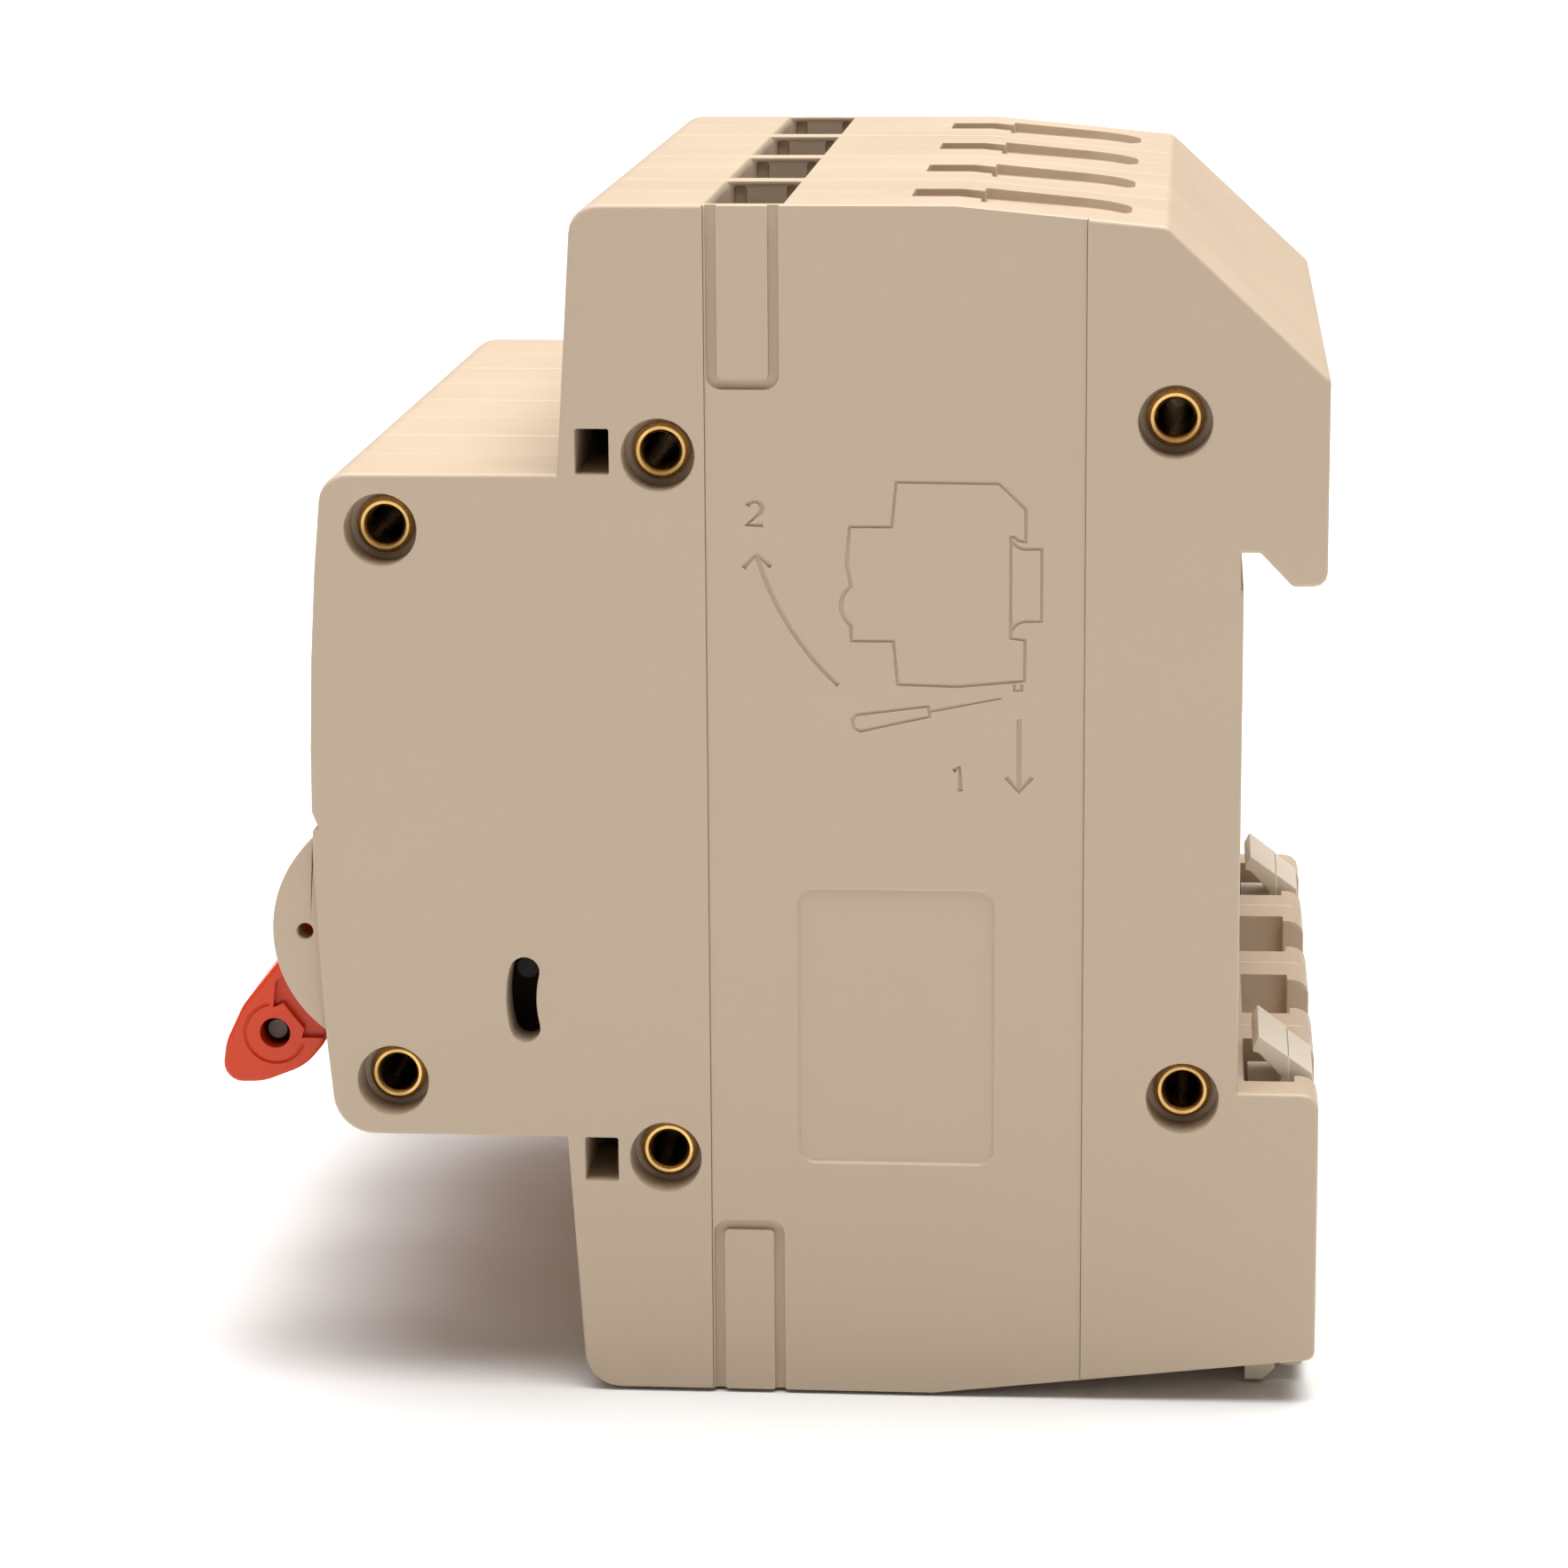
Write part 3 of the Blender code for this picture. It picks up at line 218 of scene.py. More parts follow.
def slab(name, outline, x_low, x_high, low_radius, high_radius, steps=4):
    """A prism whose rims are rounded, each with its own radius."""
    rings = []
    for x, radius, inward in ((x_low, low_radius, 1), (x_high, high_radius, -1)):
        turns = [math.pi / 2 * k / steps for k in range(steps + 1)]
        rims = []
        for t in turns:
            rims.append((x + inward * radius * (1 - math.sin(t)), inset(outline, radius * (1 - math.cos(t)))))
        rings += [[(px, y, z) for y, z in rim] for px, rim in (reversed(rims) if inward == 1 else rims)]
    return mesh_object(name, lambda bm: skin(bm, rings))


def rectangle(y_range, z_range):
    (front, rear), (low, high) = y_range, z_range
    return [(front, low), (rear, low), (rear, high), (front, high)]


def box(name, x_range, y_range, z_range):
    return prism(name, rectangle(y_range, sorted(z_range)), *x_range)


def circle(centre, radius, count=48):
    turns = [2 * math.pi * i / count for i in range(count)]
    return [(centre[0] + radius * math.cos(t), centre[1] + radius * math.sin(t)) for t in turns]


def rod(name, centre, radius, x_low, x_high, count=48):
    return prism(name, circle(centre, radius, count), x_low, x_high)


def rod_y(name, x, z, radius, y_low, y_high, count=32):
    """A cylinder along Y."""
    rings = [[(px, y, pz) for px, pz in circle((x, z), radius, count)] for y in (y_low, y_high)]
    return mesh_object(name, lambda bm: skin(bm, rings))


def lathe(name, profile, axis, count=40, closed=False):
    """A profile of (distance along the axis, radius) turned round X or Y."""

    def ring(along, radius):
        turned = circle((0.0, 0.0), max(radius, 0.0005), count)
        return [(along, a, b) if axis == "X" else (a, along, b) for a, b in turned]

    return mesh_object(name, lambda bm: skin(bm, [ring(*p) for p in profile], closed=closed))


def rounded(corners, fineness=3.0, steps=None):
    """The outline through corners of (y, z, radius), with an arc where there is a radius."""
    points = []
    for index, (y, z, radius) in enumerate(corners):
        corner = Vector((y, z))
        if radius == 0:
            points.append((y, z))
            continue
        before = (Vector(corners[index - 1][:2]) - corner).normalized()
        after = (Vector(corners[(index + 1) % len(corners)][:2]) - corner).normalized()
        half_angle = before.angle(after) / 2
        centre = corner + (before + after).normalized() * radius / math.sin(half_angle)
        start = corner + before * radius / math.tan(half_angle) - centre
        end = corner + after * radius / math.tan(half_angle) - centre
        first = math.atan2(start.y, start.x)
        turn = (math.atan2(end.y, end.x) - first + math.pi) % (2 * math.pi) - math.pi
        count = steps or max(3, round(radius * fineness))
        for step in range(count + 1):
            angle = first + turn * step / count
            points.append((centre.x + radius * math.cos(angle), centre.y + radius * math.sin(angle)))
    return points


def rounded_rectangle(y_range, z_range, radius):
    return rounded([(y, z, radius) for y, z in rectangle(y_range, z_range)], steps=8)


def arc(centre, radius, start, end, count=16):
    """Points on an arc, with its angles in degrees."""
    turns = [math.radians(start + (end - start) * i / count) for i in range(count + 1)]
    return [(centre[0] + radius * math.cos(t), centre[1] + radius * math.sin(t)) for t in turns]


def bake_modifiers(obj):
    bpy.context.view_layer.update()
    graph = bpy.context.evaluated_depsgraph_get()
    obj.data = bpy.data.meshes.new_from_object(obj.evaluated_get(graph))
    obj.modifiers.clear()
    return obj


def combine(target, operation, pieces):
    for piece in pieces:
        modifier = target.modifiers.new(piece.name, "BOOLEAN")
        modifier.operation = operation
        modifier.object = piece
    bake_modifiers(target)
    for piece in pieces:
        bpy.data.objects.remove(piece)
    return target


def soften(obj, width, segments=2, angle=32):
    """Rounds every edge sharper than the angle."""
    modifier = obj.modifiers.new("Soften", "BEVEL")
    modifier.width = width
    modifier.segments = segments
    modifier.limit_method = "ANGLE"
    modifier.angle_limit = math.radians(angle)
    modifier.use_clamp_overlap = False
    modifier.miter_outer = "MITER_ARC"
    return bake_modifiers(obj)


def drop_doubled_faces(mesh):
    """Deletes the pairs of faces lying back to back that a bevel can leave, which enclose nothing."""
    bm = bmesh.new()
    bm.from_mesh(mesh)
    bmesh.ops.triangulate(bm, faces=bm.faces)
    places = {}
    for face in bm.faces:
        place = frozenset(tuple(round(c, 4) for c in v.co) for v in face.verts)
        places.setdefault(place, []).append(face)
    doubled = [face for group in places.values() if len(group) == 2 for face in group]
    bmesh.ops.delete(bm, geom=doubled, context="FACES")
    bm.to_mesh(mesh)
    bm.free()
    return mesh


def groove(name, points, x, radius=GROOVE_RADIUS, closed=False):
    """A round-bottomed groove's cutter, a tube along points of (y, z) in the plane at x."""
    curve = bpy.data.curves.new(name, "CURVE")
    curve.dimensions = "3D"
    curve.bevel_depth = radius
    curve.bevel_resolution = 2
    curve.use_fill_caps = True
    spline = curve.splines.new("POLY")
    spline.points.add(len(points) - 1)
    for point, (y, z) in zip(spline.points, points):
        point.co = (x, y, z, 1.0)
    spline.use_cyclic_u = closed
    obj = link(name + "_path", curve)
    bpy.context.view_layer.update()
    mesh = bpy.data.meshes.new_from_object(obj.evaluated_get(bpy.context.evaluated_depsgraph_get()))
    bpy.data.objects.remove(obj)
    bm = bmesh.new()
    bm.from_mesh(mesh)
    bmesh.ops.remove_doubles(bm, verts=bm.verts, dist=0.0005)
    bmesh.ops.recalc_face_normals(bm, faces=bm.faces)
    bm.to_mesh(mesh)
    bm.free()
    return link(name, mesh)


# ---------------------------------------------------------------- materials


def shader_of(name):
    material = bpy.data.materials.new(name)
    material.use_nodes = True
    tree = material.node_tree
    return material, tree, tree.nodes["Principled BSDF"]


def noise(tree, scale, detail, stretch=(1.0, 1.0, 1.0), roughness=0.5):
    """A noise in object space, with scale in features per metre."""
    place = tree.nodes.new("ShaderNodeTexCoord")
    mapping = tree.nodes.new("ShaderNodeMapping")
    mapping.inputs["Scale"].default_value = stretch
    texture = tree.nodes.new("ShaderNodeTexNoise")
    texture.inputs["Scale"].default_value = scale
    texture.inputs["Detail"].default_value = detail
    texture.inputs["Roughness"].default_value = roughness
    tree.links.new(place.outputs["Object"], mapping.inputs["Vector"])
    tree.links.new(mapping.outputs["Vector"], texture.inputs["Vector"])
    return texture.outputs["Fac"]


def between(tree, factor, low, high):
    """Maps a 0.3 to 0.7 factor to low to high."""
    node = tree.nodes.new("ShaderNodeMapRange")
    node.inputs["From Min"].default_value = 0.3
    node.inputs["From Max"].default_value = 0.7
    node.inputs["To Min"].default_value = low
    node.inputs["To Max"].default_value = high
    tree.links.new(factor, node.inputs["Value"])
    return node.outputs["Result"]


def ramp(tree, factor, stops):
    node = tree.nodes.new("ShaderNodeValToRGB")
    elements = node.color_ramp.elements
    while len(elements) < len(stops):
        elements.new(0.5)
    for element, (position, colour) in zip(elements, stops):
        element.position = position
        element.color = (*colour, 1.0)
    tree.links.new(factor, node.inputs["Fac"])
    return node.outputs["Color"]


def scaled(colour, amount):
    return tuple(min(1.0, c * amount) for c in colour)


def bump(tree, shader, height, distance, strength):
    node = tree.nodes.new("ShaderNodeBump")
    node.inputs["Distance"].default_value = distance
    node.inputs["Strength"].default_value = strength
    tree.links.new(height, node.inputs["Height"])
    tree.links.new(node.outputs["Normal"], shader.inputs["Normal"])


def multiply(tree, first, second):
    node = tree.nodes.new("ShaderNodeMix")
    node.data_type = "RGBA"
    node.blend_type = "MULTIPLY"
    node.inputs["Factor"].default_value = 1.0
    tree.links.new(first, node.inputs["A"])
    tree.links.new(second, node.inputs["B"])
    return node.outputs["Result"]


def plastic(name, colour, rough, mottle=0.03, specks=0.05, grain=0.25, gloss=0.5):
    """Moulded plastic: faint flow marks, sparse lighter specks and a fine eroded grain."""
    material, tree, shader = shader_of(name)
    flow = noise(tree, 70.0, 4.0, (1.0, 0.6, 1.6))
    spot = noise(tree, 900.0, 2.0)
    fine = noise(tree, 5200.0, 2.0)
    base = ramp(tree, flow, [(0.3, scaled(colour, 1 - mottle)), (0.7, scaled(colour, 1 + mottle))])
    light = ramp(tree, spot, [(0.62, (1 - specks,) * 3), (0.74, (1.0, 1.0, 1.0))])
    tree.links.new(multiply(tree, base, light), shader.inputs["Base Color"])
    tree.links.new(between(tree, flow, rough - 0.05, rough + 0.05), shader.inputs["Roughness"])
    shader.inputs["Specular IOR Level"].default_value = gloss
    bump(tree, shader, fine, 0.00001, grain)
    return material


def metal(name, colour, rough, tarnish=0.25, stretch=(1.0, 1.0, 1.0), scale=900.0):
    """Worked metal: drawing or turning marks along one direction, and patches of tarnish."""
    material, tree, shader = shader_of(name)
    patches = noise(tree, 260.0, 5.0)
    marks = noise(tree, scale, 3.0, stretch)
    dark = scaled(colour, 1 - tarnish)
    tree.links.new(ramp(tree, patches, [(0.35, dark), (0.62, colour)]), shader.inputs["Base Color"])
    tree.links.new(between(tree, marks, rough - 0.08, rough + 0.1), shader.inputs["Roughness"])
    shader.inputs["Metallic"].default_value = 1.0
    bump(tree, shader, marks, 0.00001, 0.3)
    return material


def banded(name, colour, groove_colour, rough, bands_per_metre, direction, metallic=0.0):
    """A material with close parallel bands, such as a winding of enamelled wire."""
    material, tree, shader = shader_of(name)
    place = tree.nodes.new("ShaderNodeTexCoord")
    wave = tree.nodes.new("ShaderNodeTexWave")
    wave.bands_direction = direction
    wave.inputs["Scale"].default_value = bands_per_metre / 20.0 * math.pi
    wave.inputs["Distortion"].default_value = 0.15
    tree.links.new(place.outputs["Object"], wave.inputs["Vector"])
    bands = ramp(tree, wave.outputs["Fac"], [(0.15, groove_colour), (0.6, colour)])
    tree.links.new(bands, shader.inputs["Base Color"])
    wear = between(tree, noise(tree, 500.0, 3.0), rough - 0.05, rough + 0.08)
    tree.links.new(wear, shader.inputs["Roughness"])
    shader.inputs["Metallic"].default_value = metallic
    bump(tree, shader, wave.outputs["Fac"], 0.0002, 0.6)
    return material


CASE = plastic("case_moulding", (0.535, 0.417, 0.302), 0.5, mottle=0.015, specks=0.02)
TOGGLE = plastic("toggle_moulding", (0.66, 0.05, 0.008), 0.3, mottle=0.05, specks=0.02, grain=0.1, gloss=0.35)
CLIP = plastic("clip_moulding", (0.72, 0.62, 0.5), 0.42, mottle=0.02, grain=0.15)
# The trip bar is a dark moulding, painted darker still to near black as painted shade, so that the trip slot
# reads black.
TRIP_DARK_WITH_PAINTED_SHADE = plastic("trip_bar_moulding", (0.012, 0.011, 0.01), 0.5, grain=0.2, gloss=0.2)
BRASS = metal("rivet_brass_tube", (0.74, 0.47, 0.17), 0.28, tarnish=0.35, stretch=(0.2, 1.0, 1.0))
# The tie rod's steel is painted nearly black as painted shade, so that its ends read as the dark of the
# toggle's bore and not as bright steel.
ROD_STEEL_PAINTED_SHADE = metal("tie_rod_blackened_steel", (0.09, 0.07, 0.06), 0.4, stretch=(0.1, 1.0, 1.0))
SCREW_STEEL = metal("screw_zinc_plate", (0.66, 0.67, 0.68), 0.3, tarnish=0.15, stretch=(1.0, 0.3, 1.0))
CAGE_STEEL = metal("cage_zinc_plate", (0.58, 0.57, 0.52), 0.36, tarnish=0.2)
COPPER = metal("strip_copper_sheet", (0.76, 0.4, 0.25), 0.32, stretch=(1.0, 1.0, 0.15))
ARM_COPPER = metal("arm_copper_forging", (0.68, 0.36, 0.23), 0.4, tarnish=0.35)
BIMETAL = metal("bimetal_sheet", (0.55, 0.49, 0.43), 0.35, tarnish=0.3, stretch=(1.0, 1.0, 0.15))
WINDING = banded("coil_enamelled_wire", (0.5, 0.17, 0.06), (0.12, 0.04, 0.02), 0.3, 900.0, "Y")
CHUTE = banded("chute_steel_plates", (0.4, 0.39, 0.37), (0.2, 0.19, 0.18), 0.42, 700.0, "Z", metallic=1.0)


def finish_piece(mesh, name, material, body, node, smooth_angle=34):
    """A finished piece: its shading, material and body, with the CAD node that it replaces hidden."""
    obj = link(name, mesh)
    mesh.materials.clear()
    mesh.materials.append(material)
    mesh.shade_smooth()
    mesh.set_sharp_from_angle(angle=math.radians(smooth_angle))
    flats = obj.modifiers.new("Flats", "WEIGHTED_NORMAL")
    flats.keep_sharp = True
    flats.weight = 90
    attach(obj, body)
    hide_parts(node)
    return obj


# ---------------------------------------------------------------- case halves


def nose_front(z):
    return NOSE_FRONT + NOSE_CROWN * (z / NOSE_HALF) ** 2


def shoulder_front(z):
    return SHOULDER_FRONT + SHOULDER_LEAN * (abs(z) - NOSE_HALF)


def case_corners():
    """Corners of the side outline as (y, z, radius), clockwise from the lower corner of the nose."""
    crown = [(nose_front(z), z, 0.0) for z in (-16.0, -10.0, -4.0, 0.0, 4.0, 10.0, 16.0)]
    return [
        (nose_front(-NOSE_HALF), -NOSE_HALF, 2.8),
        *crown,
        (nose_front(NOSE_HALF), NOSE_HALF, 2.1),
        (shoulder_front(NOSE_HALF), NOSE_HALF, 0.0),
        (shoulder_front(CASE_HALF), CASE_HALF, 2.0),
        (-18.8, CASE_HALF, 0.0),
        (-5.2, CASE_HALF - 1.35, 0.8),
        (CASE_BACK, CASE_HALF - 11.2, 0.5),
        (CASE_BACK, HOOK_TIP, 0.9),
        (3.15, HOOK_TIP, 0.0),
        (1.05, RAIL_TOP, 0.0),
        (-SEAT_RELIEF, RAIL_TOP, 0.0),
        (-SEAT_RELIEF, SEAT_TOP, 0.0),
        (0.0, SEAT_TOP, 0.0),
        (0.0, RAIL_BOTTOM, 0.0),
        (CASE_BACK, RAIL_BOTTOM, 1.1),
        (CASE_BACK, -CASE_HALF + 2.9, 0.6),
        (-20.2, -CASE_HALF, 0.0),
        (shoulder_front(CASE_HALF), -CASE_HALF, 2.5),
        (shoulder_front(NOSE_HALF), -NOSE_HALF, 0.0),
    ]


def mirrored(points):
    return points + [(y, -z) for y, z in reversed(points)]


def pocket_cutters(side):
    """Cutters for the spaces inside one half."""

    def span(half):
        return sorted((0.0, side * half))

    passage = -35.1
    mechanism = mirrored(
        [
            (-33.2, CHAMBER_BOTTOM),
            (CHAMBER_REAR, CHAMBER_BOTTOM),
            (CHAMBER_REAR, CHAMBER_TOP),
            (CHAMBER_FRONT, CHAMBER_TOP),
            (CHAMBER_FRONT, CHAMBER_BOTTOM),
            (passage, CHAMBER_BOTTOM),
            (passage, MECHANISM_TOP),
            (-46.9, MECHANISM_TOP),
        ]
    )
    nose = mirrored(
        [(-45.2, MECHANISM_TOP), (-54.04, MECHANISM_TOP), (-54.04, 16.8), (NOSE_FRONT + 1.7, 16.8)]
    )
    opening_y = (PIVOT[0] - BOSS_RADIUS - 2, NOSE_FRONT + 3.4)
    opening_z = (PIVOT[1] - 9.22, PIVOT[1] + 9.22)
    return [
        prism("cut_mechanism", mechanism, *span(POCKET)),
        prism("cut_nose", nose, *span(TOGGLE_SLOT)),
        box("cut_coil", span(POCKET), (-32.0, -13.8), (5.5, 21.5)),
        box("cut_chute", span(POCKET), (-32.0, -9.8), (-16.5, 3.5)),
        box("cut_upper_void", span(POCKET), (-25.5, -8.3), (23.0, 33.0)),
        box("cut_lower_void", span(POCKET), (-25.5, -7.0), (-35.0, -22.5)),
        box("cut_toggle_opening", span(TOGGLE_SLOT), opening_y, opening_z),
        rod("cut_axle", PIVOT, AXLE_RADIUS + 0.3, *span(TOGGLE_HALF + 1.8), 24),
    ]


def sloped_guide(side, end):
    """The guide groove behind the tongue slot, rounded at the rear, with a floor that sinks to the rear."""
    front, rear, half, radius = -17.3, -7.6, 4.85, 3.6
    floor_front, floor_rear = CASE_HALF - 0.95, CASE_HALF - 1.75
    straight = rear - radius
    turns = [math.pi / 2 * k / 8 for k in range(7, 0, -1)]
    plan = [(0.0, front), (half, front), (half, straight)]
    plan += [(half - radius + radius * math.sin(t), straight + radius * math.cos(t)) for t in turns]
    plan += [(half - radius, rear), (0.0, rear)]
    slope = (floor_rear - floor_front) / (rear - front)
    low = [(side * x, y, end * (floor_front + slope * (y - front))) for x, y in plan]
    high = [(side * x, y, end * (CASE_HALF + BEYOND)) for x, y in plan]
    return mesh_object("cut_guide", lambda bm: skin(bm, [low, high]))


def terminal_cutters(side, end):
    """Cutters at the upper (end = 1) or lower (end = -1) terminal."""
    face = end * (CASE_HALF + BEYOND)

    def span(half):
        return sorted((0.0, side * half))

    slot = HALF_POLE - 1.0
    above = end * (CASE_HALF + 0.01)
    lead_in = [(-35.1, above), (-34.79, end * (CASE_HALF - 0.5)), (-34.79, above)]
    lines = span(slot + 0.22)
    line_heights = (end * (CASE_HALF - 8.0), end * (CASE_HALF - 0.4))
    return [
        box("cut_busbar", span(slot), (-34.8, -29.95), (end * (CHAMBER_TOP - 0.1), face)),
        prism("cut_lead_in", lead_in, *span(slot)),
        box("cut_line_front", lines, (-34.5, -33.7), line_heights),
        box("cut_line_rear", lines, (-30.9, -30.3), line_heights),
        box("cut_tongue", span(2.7), (-21.9, -17.1), (end * (CASE_HALF - 3.2), face)),
        sloped_guide(side, end),
        rod_y("cut_access", 0.0, end * TERMINAL_HEIGHT, 3.3, SHOULDER_FRONT - 2.0, CHAMBER_FRONT + 2.0),
    ]


def trip_slot():
    """Outline of the curved slot that the trip bar's pin moves in."""
    y, z, radius, half, reach = -39.75, -13.0, 8.0, 1.0, 14.0
    outer = arc((y, z), radius + half, 180 - reach, 180 + reach, 8)
    inner = arc((y, z), radius - half, 180 + reach, 180 - reach, 8)
    low = math.radians(180 + reach)
    high = math.radians(180 - reach)
    low_end = (y + radius * math.cos(low), z + radius * math.sin(low))
    high_end = (y + radius * math.cos(high), z + radius * math.sin(high))
    low_cap = arc(low_end, half, 180 + reach, 360 + reach, 8)[1:-1]
    high_cap = arc(high_end, half, -reach, 180 - reach, 8)[1:-1]
    return outer + low_cap + inner + high_cap


def through_cutters():
    """Cutters that run right through a half from side to side."""
    width = (-HALF_POLE - BEYOND, HALF_POLE + BEYOND)
    cutters = [rod(f"cut_{name}", place, 1.65, *width, 24) for name, place in RIVETS.items()]
    for end in (-1, 1):
        middle = end * WINDOW_HEIGHT
        heights = (middle - WINDOW_HALF, middle + WINDOW_HALF)
        cutters.append(box("cut_window", width, (-43.58, -41.38), heights))
    cutters.append(prism("cut_trip_slot", trip_slot(), *width))
    return cutters


def channel_cutters():
    """Cutters for the stepped channel of a rail clip."""
    heights = (-CASE_HALF - BEYOND, -16.7)
    return [
        box("cut_channel", (-5.45, 5.45), (0.5, 3.8), heights),
        box("cut_channel_back", (-3.95, 3.95), (0.5, CASE_BACK + BEYOND), heights),
    ]


def knockout(end):
    """Outline of the U-shaped groove round a busbar knock-out."""
    front, rear, width = -34.95, -30.2, 0.7
    outer, inner, face = CASE_HALF - 12.0, CASE_HALF - 11.3, CASE_HALF + BEYOND
    return rounded(
        [
            (front, end * face, 0.0),
            (front, end * outer, 0.95),
            (rear, end * outer, 0.95),
            (rear, end * face, 0.0),
            (rear - width, end * face, 0.0),
            (rear - width, end * inner, 0.3),
            (front + width, end * inner, 0.3),
            (front + width, end * face, 0.0),
        ],
        fineness=6,
    )


def face_cutters(side):
    """Cutters for the features of an outer side face that keep their soft edges."""

    def depth(sunk):
        return sorted((side * (HALF_POLE - sunk), side * (HALF_POLE + BEYOND)))

    cutters = [rod("cut_recess", place, RECESS_RADIUS, *depth(RECESS_DEPTH)) for place in RIVETS.values()]
    cutters += [prism("cut_knockout", knockout(end), *depth(0.5)) for end in (-1, 1)]
    cutters.append(rod("cut_pin_hole", (PIVOT[0] - PIN_HOLE_OFFSET, PIVOT[1]), 0.55, *depth(3.25), 20))
    return cutters


def engraving_cutters(side):
    """Cutters for the shallow details of an outer side face: stepped panel, label field and drawing."""
    face = side * HALF_POLE
    outside = side * (HALF_POLE + 1.0)
    floor = side * (HALF_POLE - PANEL_STEP)
    height = (-CASE_HALF - 1, CASE_HALF + 1)
    cutters = [prism("cut_panel", rectangle(PANEL, height), *sorted((floor, outside)))]
    for y in (PANEL[0] - PANEL_LINE_SHIFT, PANEL[1] + PANEL_LINE_SHIFT):
        cutters.append(groove("cut_panel_line", [(y, z) for z in height], floor, PANEL_LINE_RADIUS))

    def label(grown, radius):
        y_range, z_range = [(low - grown, high + grown) for low, high in (LABEL_Y, LABEL_Z)]
        return rounded_rectangle(y_range, z_range, radius)

    top, bottom = label(LABEL_SPREAD, 1.0 + LABEL_SPREAD), label(-LABEL_TAPER, 1.0)
    cutters.append(loft("cut_label", bottom, side * (HALF_POLE - 0.28), top, side * (HALF_POLE + 0.95)))
    if side > 0:
        cutters += drawing_cutters(face - PANEL_STEP)
    return cutters


def drawing_cutters(x):
    """The engraved drawing of how the breaker leaves its rail: its outline, the rail and a screwdriver."""
    oy, oz = DRAWING_ORIGIN
    k = DRAWING_SCALE

    def small(points):
        return [(oy + k * y, oz + k * z) for y, z in points]

    boss = arc(PIVOT, BOSS_RADIUS + 1.4, 128, 232, 12)
    outline = small(
        [
            (0.0, 19.0), (0.0, -21.0), (5.6, -21.6), (CASE_BACK, -37.8), (-20.2, -CASE_HALF),
            (-44.0, -39.6), (-45.6, -NOSE_HALF), (-62.0, -NOSE_HALF), *reversed(boss), (-63.8, 8.0),
            (-62.6, NOSE_HALF), (-46.2, NOSE_HALF), (-44.4, CASE_HALF), (-4.5, 39.8), (5.8, 29.7),
            (5.8, 17.0), (3.0, 17.6), (1.6, 19.0),
        ]
    )
    rail = small(
        [
            (0.3, 17.6), (2.2, 15.2), (5.0, 14.2), (12.0, 14.2),
            (12.0, -14.2), (5.0, -14.2), (2.2, -15.4), (0.4, -17.6),
        ]
    )
    clip_end = small([(1.6, -39.2), (1.6, -41.6), (4.4, -41.6), (4.4, -39.0)])
    turn = arc((-13.4, 22.6), 19.1, 196, 227, 14)
    tip = turn[0]
    two = arc((-31.85, 20.32), 0.5, 160, -20, 8) + [(-32.38, 19.24), (-31.3, 19.24)]
    handle = [(-25.5, 6.35), (-25.25, 6.7), (-20.5, 7.3), (-20.42, 6.62), (-25.0, 5.6), (-25.4, 5.8)]
    blade = [(-20.4, 7.12), (-15.9, 7.88), (-15.6, 7.86), (-15.9, 7.78), (-20.4, 6.86)]
    thin = 0.14
    return [
        groove("cut_outline", outline, x, thin + 0.01, closed=True),
        groove("cut_rail", rail, x, thin),
        groove("cut_clip_end", clip_end, x, thin),
        groove("cut_turn", turn, x),
        groove("cut_turn_tip", [(tip[0] - 0.85, tip[1] - 0.95), tip, (tip[0] + 0.95, tip[1] - 0.85)], x),
        groove("cut_handle", handle, x, thin, closed=True),
        prism("cut_blade", blade, x - 0.1, x + 0.5),
        groove("cut_down", [(-14.55, 6.5), (-14.55, 1.66)], x),
        groove("cut_down_tip", [(-15.4, 2.6), (-14.55, 1.6), (-13.7, 2.6)], x),
        groove("cut_two", two, x),
        groove("cut_one", [(-18.86, 2.95), (-18.45, 3.25), (-18.4, 1.6)], x),
    ]


def make_shell(side, outermost):
    """One moulded half of a pole round its own middle plane."""

    def span(low, high):
        return sorted((side * low, side * high))

    rims = (SEAM_RIM, FACE_RIM) if side > 0 else (FACE_RIM, SEAM_RIM)
    width = HALF_POLE if outermost else INNER_HALF_POLE
    shell = slab("shell", rounded(case_corners()), *span(SEAM, width), *rims)
    notch = [(-1.0, 0.5), (0.02, -0.34), (0.5, -1.43), (-1.0, -1.9)]
    notch = [(NOSE_FRONT + y, z) for y, z in notch]
    combine(shell, "DIFFERENCE", [prism("cut_notch", notch, *span(-1, HALF_POLE + 1))])
    combine(shell, "UNION", [rod("boss", PIVOT, BOSS_RADIUS, *span(TOGGLE_SLOT, BOSS_FACE), 96)])
    cutters = pocket_cutters(side) + through_cutters() + channel_cutters()
    for end in (-1, 1):
        cutters += terminal_cutters(side, end)
    if outermost:
        cutters += face_cutters(side)
    combine(shell, "DIFFERENCE", cutters)
    soften(shell, EDGE_ROUNDING)
    if outermost:
        combine(shell, "DIFFERENCE", engraving_cutters(side))
    mesh = drop_doubled_faces(shell.data)
    bpy.data.objects.remove(shell)
    return mesh


# ---------------------------------------------------------------- small pieces


